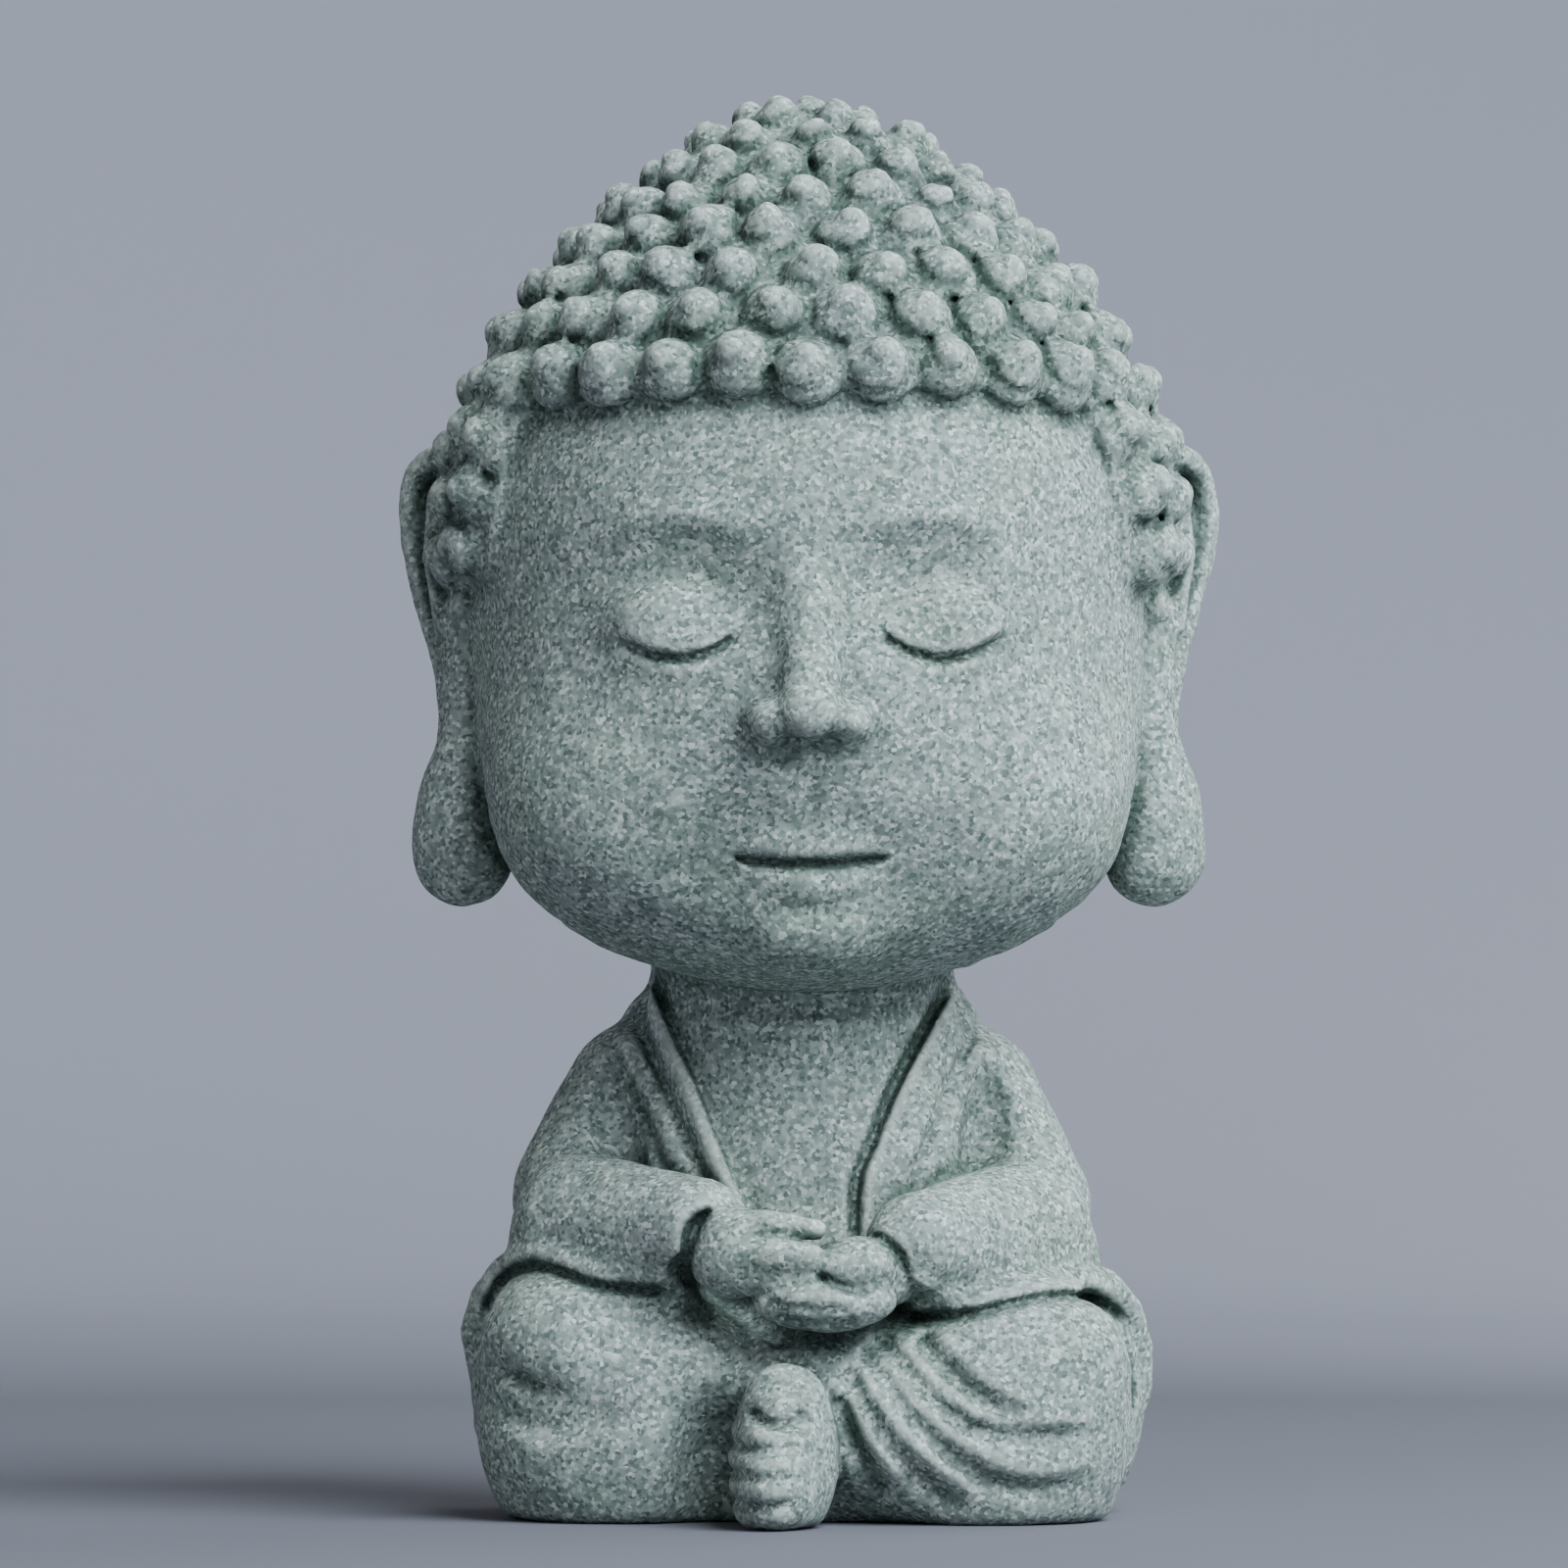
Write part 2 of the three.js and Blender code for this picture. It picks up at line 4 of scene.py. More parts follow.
import bmesh
import bpy
import numpy as np
import openvdb
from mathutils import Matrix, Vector


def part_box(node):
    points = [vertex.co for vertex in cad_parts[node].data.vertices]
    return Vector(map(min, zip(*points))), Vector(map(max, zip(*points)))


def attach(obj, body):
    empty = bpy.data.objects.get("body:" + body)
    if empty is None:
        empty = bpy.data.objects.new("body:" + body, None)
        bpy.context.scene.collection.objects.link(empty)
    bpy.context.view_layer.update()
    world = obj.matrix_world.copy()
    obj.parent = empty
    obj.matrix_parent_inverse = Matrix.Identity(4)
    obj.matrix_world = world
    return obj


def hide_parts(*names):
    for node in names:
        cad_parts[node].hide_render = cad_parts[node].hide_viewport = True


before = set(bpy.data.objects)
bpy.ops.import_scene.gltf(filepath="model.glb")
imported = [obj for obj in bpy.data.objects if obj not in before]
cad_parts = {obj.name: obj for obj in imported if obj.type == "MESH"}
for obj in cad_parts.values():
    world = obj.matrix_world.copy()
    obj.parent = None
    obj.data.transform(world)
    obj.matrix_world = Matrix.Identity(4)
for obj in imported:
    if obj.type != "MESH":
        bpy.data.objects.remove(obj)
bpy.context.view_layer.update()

# ---- Driving dimensions, in millimetres -----------------------------------------------------

STEP = 0.55  # pitch of the sculpting grid
FAR = 30.0  # distance given to everything that is well outside the stone
REACH = 8.0  # how far round a form the grid is worked
FACES = 190_000  # triangles that the mesh is thinned to, about
HEIGHT = 180.0
CHIN = 67.0
SKULL_RADIUS = 44.0
DOME_BASE = 124.0
DOME_RISE = 56.0
SHARPNESS = 1.04  # 1 gives the dome a pointed top, 2 makes it an ellipsoid
CROWN = 175.6  # where the top of the scalp is flattened
ROWS = 8  # rows of curls from the crown down to the one over the forehead
FRONT_ROW = 140.8  # height of that one
CURL_RADIUS = 3.6  # of the curls near the crown
CURL_GROWTH = 0.8  # how much larger the curls lower down are
HAIR_FRONT = 136.8  # lowest heights of the hair: over the forehead
HAIR_TEMPLE = 114.0  # before the ears
HAIR_NAPE = 86.0  # behind them
EAR_TURN = 40.0  # degrees that the ears turn back from straight out to the side
EAR_ROOT = np.array([39.6, -2.0, 0.0])
UNEVENNESS = ((0.10, 5.0, 3), (0.07, 2.0, 4))  # height, spacing and seed of each layer of lumps

# Corners of the grids that the parts are sculpted on.
BODY = ((-48, -46, -3), (48, 42, 80))
ARMS = ((-48, -42, -3), (48, 42, 80))
HANDS = ((-24, -42, 14), (24, -12, 48))
FOOT = ((-16, -46, -3), (10, -12, 30))
FACE = ((-46, -54, 58), (46, 50, 178))
NOSE = ((-14, -54, 86), (14, -26, 130))
RIGHT_EAR = ((28, -24, 66), (55, 30, 146))
LEFT_EAR = ((-55, -24, 66), (-28, 30, 146))
HAIR = ((-50, -52, 76), (50, 50, 181))
FIGURE = ((-56, -56, -3), (56, 54, 184))

# The studio, in metres: the camera, the lights, and the backdrop's round floor and wall.
TARGET = (-0.0032, 0.0, 0.0920)
CAMERA_PLACE = (-0.0032, -0.95, 0.050)
LENS = 172.8
SENSOR = 36
LIGHT_TARGET = (0, 0, 0.09)
LIGHTS = (  # name, place, width, watts and colour
    ("key", (0.62, -0.68, 0.93), 1.1, 47.0, (0.80, 0.91, 1.0)),
    ("fill", (-0.6, -0.9, 0.6), 0.9, 1.0, (1.0, 0.98, 0.93)),
    ("behind", (0.75, 0.55, 0.55), 0.8, 5.0, (0.9, 0.95, 1.0)),
)
AROUND_COLOR = (204, 196, 182)
AROUND_STRENGTH = 0.245
FLOOR_REACH = 1.35
FLOOR_CURVE = 0.45  # radius of the bend from floor to wall
WALL_TOP = 0.8
FLOOR_SIDES = 96
CURVE_STEPS = 16
# Painted shade: the backdrop is coloured darker near the middle and lighter towards the wall, standing
# in for the shading from the lit wall down onto the floor.
NEAR_SHADE_TONE = (0.40, (102, 102, 109))  # distance from the middle, and colour up to there
FAR_TONE = (1.0, (164, 164, 174))  # and from there on

# Places on the face by the usual canon for a child's head: the brow halfway up, and the eyes,
# the base of the nose and the mouth at quarters of the way from there down to the chin.
BROW = (HEIGHT + CHIN) / 2
QUARTER = (BROW - CHIN) / 4
EYES = BROW - QUARTER
NOSE_BASE = EYES - QUARTER
MOUTH = NOSE_BASE - QUARTER
EYE_WIDTH = 2 * SKULL_RADIUS / 5.5

rng = np.random.default_rng(11)

# ---- Forms ------------------------------------------------------------------------------------

# A form is a distance function of x, y and z, and the corners of the box that holds the shape.
Form = namedtuple("Form", "distance low high")
UPRIGHT = np.eye(3)


def turn_about(axis, degrees):
    """The rotation matrix for a turn about x, y or z."""
    c, s = math.cos(math.radians(degrees)), math.sin(math.radians(degrees))
    first, second = {"x": (1, 2), "y": (2, 0), "z": (0, 1)}[axis]
    matrix = np.eye(3)
    matrix[first, first] = matrix[second, second] = c
    matrix[first, second] = -s
    matrix[second, first] = s
    return matrix


def ellipsoid(centre, radii, turn=UPRIGHT):
    centre, radii = np.array(centre, float), np.array(radii, float)
    half = np.sqrt(((turn * radii) ** 2).sum(axis=1))

    def distance(x, y, z):
        offset = [x - centre[0], y - centre[1], z - centre[2]]
        if turn is UPRIGHT:
            own = offset
        else:
            own = [sum(turn[k, i] * offset[k] for k in range(3)) for i in range(3)]
        scaled = np.sqrt(sum((own[i] / radii[i]) ** 2 for i in range(3)))
        slope = np.sqrt(sum((own[i] / radii[i] ** 2) ** 2 for i in range(3)))
        return scaled * (scaled - 1) / np.maximum(slope, 1e-4)

    return Form(distance, centre - half, centre + half)


def limb(points, radii):
    """A round bar through points, its radius going evenly from one point's to the next one's."""
    points, radii = np.array(points, float), np.broadcast_to(radii, len(points)).astype(float)

    def distance(x, y, z):
        nearest = None
        for a, b, ra, rb in zip(points, points[1:], radii, radii[1:]):
            run = b - a
            along = (x - a[0]) * run[0] + (y - a[1]) * run[1] + (z - a[2]) * run[2]
            t = np.clip(along / (run @ run), 0, 1)
            gap = (x - a[0] - t * run[0]) ** 2
            gap = gap + (y - a[1] - t * run[1]) ** 2
            gap = gap + (z - a[2] - t * run[2]) ** 2
            gap = np.sqrt(gap) - (ra + (rb - ra) * t)
            nearest = gap if nearest is None else np.minimum(nearest, gap)
        return nearest

    return Form(distance, points.min(axis=0) - radii.max(), points.max(axis=0) + radii.max())


def dome(radius, rise, sharpness, crown):
    """A dome that rises to a point, (across / radius) ^ sharpness + (up / rise) ^ 2 = 1, blunted."""

    def distance(x, y, z):
        across = np.maximum(np.sqrt(x**2 + (y + 1) ** 2), 0.5) / radius
        up = np.abs(z - DOME_BASE) / rise
        value = across**sharpness + up**2 - 1
        slope = np.hypot(sharpness * across ** (sharpness - 1) / radius, 2 * up / rise)
        return -soft_min(-value / slope, crown - z, 5)

    low = np.array((-radius, -radius - 1, DOME_BASE - rise))
    return Form(distance, low, np.array((radius, radius - 1, crown)))


def mirrored(form):
    low, high = np.array(form.low, float), np.array(form.high, float)
    low[0], high[0] = -high[0], -low[0]
    return Form(lambda x, y, z: form.distance(-x, y, z), low, high)


def soft_min(a, b, soft):
    """The smaller of two distances, with a fillet of about that size where they meet."""
    if soft == 0:
        return np.minimum(a, b)
    near = np.maximum(soft - np.abs(a - b), 0) / soft
    return np.minimum(a, b) - near * near * soft / 4


def smooth_step(low, high, value):
    t = np.clip((value - low) / (high - low), 0, 1)
    return t * t * (3 - 2 * t)


def curve_through(points, count):
    """Points at an even pace along a smooth curve through the given ones (Catmull-Rom)."""
    points = np.array(points, float)
    padded = np.vstack([2 * points[0] - points[1], points, 2 * points[-1] - points[-2]])
    dense = []
    for p0, p1, p2, p3 in zip(padded, padded[1:], padded[2:], padded[3:]):
        t = np.linspace(0, 1, 24, endpoint=False)[:, None]
        bend = 2 * p0 - 5 * p1 + 4 * p2 - p3
        twist = 3 * p1 - p0 - 3 * p2 + p3
        dense.append((2 * p1 + (p2 - p0) * t + bend * t**2 + twist * t**3) / 2)
    dense = np.vstack([*dense, points[-1:]])
    lengths = np.linalg.norm(np.diff(dense, axis=0), axis=1)
    travelled = np.concatenate([[0], np.cumsum(lengths)])
    paces = np.linspace(0, travelled[-1], count)
    return np.stack([np.interp(paces, travelled, column) for column in dense.T], axis=1)


# ---- Clay -------------------------------------------------------------------------------------

FRONT, BACK = -1, 1


class Clay:
    """Distances to the surface of a growing shape, on a grid: negative inside."""

    def __init__(self, low, high):
        self.start = np.floor(np.array(low) / STEP).astype(int)
        self.shape = np.ceil(np.array(high) / STEP).astype(int) - self.start + 1
        self.field = np.full(self.shape, FAR, np.float32)

    def window(self, low, high):
        """The part of the grid between two corners, as slices and coordinates."""
        first = np.maximum(np.floor(np.array(low) / STEP).astype(int) - self.start, 0)
        last = np.ceil(np.array(high) / STEP).astype(int) - self.start + 1
        last = np.maximum(np.minimum(last, self.shape), first)
        slices = tuple(slice(a, b) for a, b in zip(first, last))
        axes = [
            ((np.arange(a, b) + s) * STEP).astype(np.float32)
            for a, b, s in zip(first, last, self.start)
        ]
        return slices, np.meshgrid(*axes, indexing="ij", sparse=True)

    def add(self, form, soft=0.0):
        slices, (x, y, z) = self.window(form.low - REACH, form.high + REACH)
        self.field[slices] = soft_min(self.field[slices], form.distance(x, y, z), soft)

    def add_pair(self, form, soft=0.0):
        self.add(form, soft)
        self.add(mirrored(form), soft)

    def cut(self, form, soft=0.0):
        slices, (x, y, z) = self.window(form.low - REACH, form.high + REACH)
        self.field[slices] = -soft_min(-self.field[slices], form.distance(x, y, z), soft)

    def cut_pair(self, form, soft=0.0):
        self.cut(form, soft)
        self.cut(mirrored(form), soft)

    def merge(self, other, soft=0.0):
        """Joins another clay, whose grid lies inside this one."""
        offset = other.start - self.start
        slices = tuple(slice(o, o + n) for o, n in zip(offset, other.shape))
        self.field[slices] = soft_min(self.field[slices], other.field, soft)

    def emboss(self, low, high, height, side=FRONT, depth=(0.0, 6.0)):
        """Raises the surface that faces front or back by height(x, z)."""
        slices, (x, y, z) = self.window((low[0], -60, low[1]), (high[0], 60, high[1]))
        fade = smooth_step(depth[0], depth[1], y * side)
        self.field[slices] -= (height(x[:, 0, :], z[:, 0, :])[:, None, :] * fade).astype(np.float32)

    def surface(self, x, z):
        """How far along y the surface lies, straight in from the front."""
        u, w = x / STEP - self.start[0], z / STEP - self.start[2]
        i, k = int(u), int(w)
        fu, fw = u - i, w - k
        column = (
            self.field[i, :, k] * (1 - fu) * (1 - fw)
            + self.field[i + 1, :, k] * fu * (1 - fw)
            + self.field[i, :, k + 1] * (1 - fu) * fw
            + self.field[i + 1, :, k + 1] * fu * fw
        )
        out = np.nonzero(column < 0)[0][0] - 1
        share = column[out] / (column[out] - column[out + 1])
        return (self.start[1] + out + share) * STEP

    def lay(self, path, count, sink):
        """A path of places (x, z) laid on the front and sunk into it, as points in space."""
        return [(x, self.surface(x, z) + sink, z) for x, z in curve_through(path, count)]

    def sample(self, points):
        """The distances at points, read between the grid's."""
        at = points / STEP - self.start
        base = np.clip(np.floor(at).astype(int), 0, self.shape - 2)
        part = at - base
        total = np.zeros(len(points))
        for corner in np.ndindex(2, 2, 2):
            weight = np.prod(np.where(corner, part, 1 - part), axis=1)
            total += weight * self.field[tuple((base + corner).T)]
        return total


# ---- Lines in relief --------------------------------------------------------------------------


def nearest_on(path, x, z, count=40):
    """The signed distance from each place to a path, and how far along it (0 to 1) it is."""
    line = curve_through(path, count)
    nearest = np.full(np.broadcast(x, z).shape, 1e3)
    along = np.zeros_like(nearest)
    for i, (a, b) in enumerate(zip(line, line[1:])):
        run = b - a
        t = np.clip(((x - a[0]) * run[0] + (z - a[1]) * run[1]) / (run @ run), 0, 1)
        dx, dz = x - a[0] - t * run[0], z - a[1] - t * run[1]
        gap = np.hypot(dx, dz)
        side = np.where(run[0] * dz - run[1] * dx >= 0, 1, -1)
        closer = gap < np.abs(nearest)
        nearest = np.where(closer, gap * side, nearest)
        along = np.where(closer, (i + t) / (count - 1), along)
    return nearest, along


def faded(along, start, end):
    """1 along the middle of a path, and 0 at each end over the given shares of its length."""
    rise = smooth_step(0, start, along) if start else 1.0
    fall = 1 - smooth_step(1 - end, 1, along) if end else 1.0
    return rise * fall


def line_relief(path, height, width, fade=(0.15, 0.15)):
    """A ridge, or a groove where the height is negative, along a path."""

    def relief(x, z):
        gap, along = nearest_on(path, x, z)
        return height * np.exp(-((gap / width) ** 2)) * faded(along, *fade)

    return relief


def step_relief(path, height, edge, spread, fade=(0.1, 0.1)):
    """A layer that ends along a path: raised on its left-hand side, fading out over a spread."""

    def relief(x, z):
        gap, along = nearest_on(path, x, z)
        layer = smooth_step(-edge, edge, gap) * (1 - smooth_step(0, spread, np.abs(gap)))
        return height * layer * faded(along, *fade)

    return relief


def strip_relief(path, width, height, edge, fade=(0.0, 0.0)):
    """A layer that is raised from a path to a width on its left-hand side, and fades out there."""

    def relief(x, z):
        gap, along = nearest_on(path, x, z)
        layer = smooth_step(-edge / 2, edge / 2, gap) * (1 - smooth_step(width, width + 4, gap))
        return height * layer * faded(along, *fade)

    return relief


def emboss_all(clay, reliefs, low, high, **where):
    for relief in reliefs:
        clay.emboss(low, high, relief, **where)


# ---- Body -------------------------------------------------------------------------------------

# Edges of the robe over the bare chest, from the neck down.
LEFT_EDGE = [
    (-19.8, 67.5), (-18.8, 64.0), (-16.7, 59.3), (-14.2, 54.0),
    (-11.5, 47.2), (-8.6, 40.7), (-7.6, 38.0),
]
RIGHT_EDGE = [
    (18.6, 67.5), (17.4, 65.0), (14.0, 58.8), (10.8, 52.6),
    (8.3, 46.4), (6.6, 42.0), (6.3, 35.8),
]
# The hems of the robe where it lies over the knees, from the outside to the hands.
LEFT_HEM = [
    (-40.6, 25.7), (-39.4, 28.9), (-37.0, 31.1), (-34.0, 31.9),
    (-30.0, 31.0), (-25.5, 29.5), (-17.5, 29.1),
]
RIGHT_HEM = [
    (39.2, 24.6), (38.2, 26.2), (36.4, 27.6), (34.0, 28.2),
    (28.7, 28.2), (23.8, 27.2), (19.0, 26.2), (11.5, 25.8),
]
CUFF = [(6.2, 34.4), (8.6, 36.0), (11.2, 34.2), (12.4, 30.8), (15.4, 28.8), (19, 28)]
# Valleys of the folds over the right leg, and the creases under the left knee.
RIGHT_FOLDS = [
    [(13.2, 22.8), (18.2, 17.6), (23.2, 14.3), (27.4, 13.4)],
    [(8.0, 23.2), (13.2, 17.0), (18.2, 12.8), (23.2, 11.3), (30.2, 11.1), (35.0, 12.6)],
    [
        (6.0, 22.0), (10.6, 15.4), (14.6, 10.9), (18.2, 7.8),
        (22.2, 5.6), (26.8, 4.7), (31.2, 5.4), (35.0, 8.0),
    ],
    [(4.4, 19.5), (7.0, 14.3), (10.0, 9.8), (13.2, 6.6), (16.2, 4.1), (19.8, 2.4)],
    [(3.3, 15.9), (5.0, 11.3), (7.5, 6.8), (10.0, 3.6)],
]
LEFT_HOLLOW = [(-37.0, 17), (-34, 14.6), (-29.5, 13.8), (-25.0, 14.8), (-21.5, 17)]
LEFT_ARCS = [
    [(-38.2, 22.0), (-37.2, 19.4), (-35.6, 17.7), (-33.6, 16.6), (-31.0, 16.1), (-28.6, 16.4)],
    [(-38.6, 15.6), (-37.0, 13.4), (-33.8, 11.7), (-29.6, 11.7), (-25.8, 13.2), (-23.0, 15.5)],
]


def sculpt_body():
    clay = Clay(*BODY)
    clay.add(ellipsoid((0, 4, 34), (27, 20.5, 36)))
    clay.add(limb([(-0.8, 3, 50), (-0.8, 2.5, 76)], (18, 19.6)), 5)
    clay.add(ellipsoid((0, 6, 6), (38, 28, 29)), 4)
    clay.add(ellipsoid((0, -15, 14), (19, 15, 13.5)), 4)

    # The collar stands up a little round the back of the neck.
    around = np.linspace(-1.5, 1.5, 15)
    collar = [
        (19.6 * math.sin(a) - 1.2, 3 + 18.2 * math.cos(a), 62.0 + 2 * math.cos(a)) for a in around
    ]
    clay.add(limb(collar, 2.4), 5)
    arms = Clay(*ARMS)
    arms.add(limb([(-20.5, 4, 52), (-27.2, 0, 40)], (10.6, 10.2)))
    arms.add(limb([(19.6, 4, 51.6), (26.0, 0, 39)], (10.0, 9.5)))
    clay.merge(arms, 1.6)

    front = ((-47, -3), (47, 70))
    emboss_all(
        clay,
        [
            # The robe lies open over the chest, each side of it in two layers.
            strip_relief(LEFT_EDGE[::-1], 8.0, 1.6, 0.9),
            strip_relief(RIGHT_EDGE, 7.4, 1.4, 0.9),
            line_relief([(x - 1.3, z - 0.3) for x, z in LEFT_EDGE], 0.7, 1.1, (0.1, 0)),
            line_relief([(x - 3.4, z - 0.8) for x, z in LEFT_EDGE], -1.2, 0.75, (0.35, 0)),
            line_relief([(x - 7.2, z - 2.2) for x, z in LEFT_EDGE], -1.0, 0.75, (0.15, 0)),
            line_relief([(x - 0.8, z) for x, z in RIGHT_EDGE], -1.3, 0.75, (0, 0)),
            line_relief([(x + 6.6, z + 1.4) for x, z in RIGHT_EDGE], -0.8, 0.6, (0.2, 0)),
            line_relief([(x + 3.2, z + 0.7) for x, z in RIGHT_EDGE], 0.3, 2.0, (0.2, 0)),
            line_relief([(-17.0, 61.8), (0, 60.9), (15.0, 61.8)], 0.45, 1.2, (0.05, 0.05)),
            line_relief([(-17.0, 64.2), (0, 63.3), (15.0, 64.2)], -0.5, 1.3, (0.05, 0.05)),
        ],
        *front,
    )
    # The hollows of the armpits.
    armpits = (
        [(-25.2, 56.5), (-24.4, 51), (-22.6, 44.6)],
        [(22.4, 56), (22.3, 50), (21.6, 43.2)],
    )
    swell = (0.6, 1.2, 1.8, 2.3, 2.6, 2.7, 2.6, 2.4, 2.0)
    for path in armpits:
        clay.cut(limb(clay.lay(path, len(swell), 0.0), swell), 2.5)

    forearms = Clay(*ARMS)
    forearms.add(limb([(-28.0, -9, 36.2), (-13.6, -25, 36.0)], (9.2, 6.4)))
    forearms.add(limb([(26.6, -6, 36.0), (13.4, -25, 34.6)], (8.6, 6.2)))
    forearms.add(limb([(-30, -6, 31), (-17.5, -20, 32)], (7.4, 4.6)), 4)
    forearms.add(limb([(29, -4, 31), (17, -21, 31.5)], (7.2, 4.8)), 4)
    clay.merge(forearms, 1.0)

    legs = Clay(*BODY)
    legs.add(ellipsoid((-23.5, -9.5, 12), (16.9, 18.5, 21)))
    legs.add(ellipsoid((23, -11.5, 11), (16.0, 19.5, 22)))
    legs.add(limb([(-27.0, -9.5, 11.5), (-17, -16, 12)], (13.0, 11.0)), 5)
    legs.add(ellipsoid((-15.0, -16.5, 17.5), (10.0, 10.0, 9.8)), 4)
    legs.add(limb([(25.5, -16, 12.0), (13, -20.5, 12.5)], (13.0, 11.5)), 5)
    legs.add(ellipsoid((-28.4, -13.0, 22.0), (12.4, 13.0, 10.3)), 3)
    legs.add(ellipsoid((26.2, -18.5, 19.5), (13.2, 11.5, 10.0)), 4)
    clay.merge(legs, 4.0)
    # Behind each knee the edge of the robe hangs down in a rounded rim.
    clay.add(ellipsoid((-34.5, 5, 17), (8.3, 17, 16.5)), 1.0)
    clay.add(ellipsoid((34.5, 5, 15.5), (8.0, 17, 16.0)), 1.0)
    left_rim = [
        (-34.0, -11, 32.6), (-37.8, -5.5, 30.6), (-40.6, -2, 27.0),
        (-41.5, 0, 23.0), (-40.6, 2, 18.0), (-38.5, 4, 13.0),
    ]
    clay.add(limb(left_rim, (1.8, 2.1, 2.3, 2.4, 2.4, 2.2)), 0.8)
    right_rim = [
        (33.0, -11, 29.8), (36.8, -6, 29.0), (39.6, -2.5, 25.6),
        (41.0, 0, 21.0), (40.9, 1, 16.0), (39.2, 3, 10.0),
    ]
    clay.add(limb(right_rim, (1.8, 2.0, 2.2, 2.4, 2.4, 2.2)), 0.8)
    gaps = (
        [(-38.6, -9, 28.6), (-40.4, -7, 25.5), (-41.2, -5.5, 21.5), (-41.0, -5, 17), (-40.2, -4.5, 13)],
        [(37.6, -9, 27.2), (39.4, -7, 24), (40.2, -5.5, 20), (40.2, -5, 15.5), (39.2, -4.5, 11)],
    )
    for gap in gaps:
        clay.cut(limb(gap, (0.3, 0.6, 0.8, 0.7, 0.3)), 1.2)

    emboss_all(
        clay,
        [
            # The sleeves end over the legs, in a rounded hem.
            line_relief([(x, z + 1.2) for x, z in LEFT_HEM], 0.7, 1.3, (0.05, 0.1)),
            line_relief([(x, z + 1.2) for x, z in RIGHT_HEM], 0.7, 1.3, (0.1, 0.05)),
            line_relief([(x, z - 0.5) for x, z in LEFT_HEM], -1.1, 0.6, (0.05, 0.05)),
            line_relief([(x, z - 0.5) for x, z in RIGHT_HEM], -1.1, 0.6, (0.05, 0.05)),
            # The cuff on the right lies over the hand.
            line_relief(CUFF, 0.6, 0.9),
            # The folds of the robe over the legs.
            *[line_relief(path, -1.3, 1.3, (0.04, 0.2)) for path in RIGHT_FOLDS],
            *[line_relief([(x + 1.8, z + 1.8) for x, z in path], 0.7, 1.5) for path in RIGHT_FOLDS],
            line_relief(LEFT_HOLLOW, -1.2, 3.0, (0.3, 0.35)),
            line_relief(LEFT_ARCS[0], -1.2, 1.1, (0.45, 0.4)),
            line_relief(LEFT_ARCS[1], -0.9, 1.4, (0.3, 0.35)),
            line_relief([(-11.5, 26.5), (-8.0, 23.0), (-6.5, 19.0)], -0.5, 0.8),
            line_relief([(-13.5, 24.0), (-10.0, 20.0), (-9.0, 15.0)], -0.4, 0.9),
        ],
        *front,
    )
    add_hands(clay)
    add_foot(clay)

    # Folds down the back, and a soft edge round the foot of the figure.
    fans = [(0, 1.0), (-9, 0.9), (9, 0.9), (-18, 0.9), (18, 0.9), (-27, 0.7), (27, 0.7)]
    emboss_all(
        clay,
        [
            line_relief([(x * 0.4, 56), (x * 0.8, 32), (x, 4), (x, -3)], -depth, 1.6, (0.3, 0))
            for x, depth in fans
        ],
        *front,
        side=BACK,
    )
    slices, (_, _, z) = clay.window(BODY[0], (48, 42, 6))
    clay.field[slices] = -soft_min(-clay.field[slices], z, 1.6)
    return clay


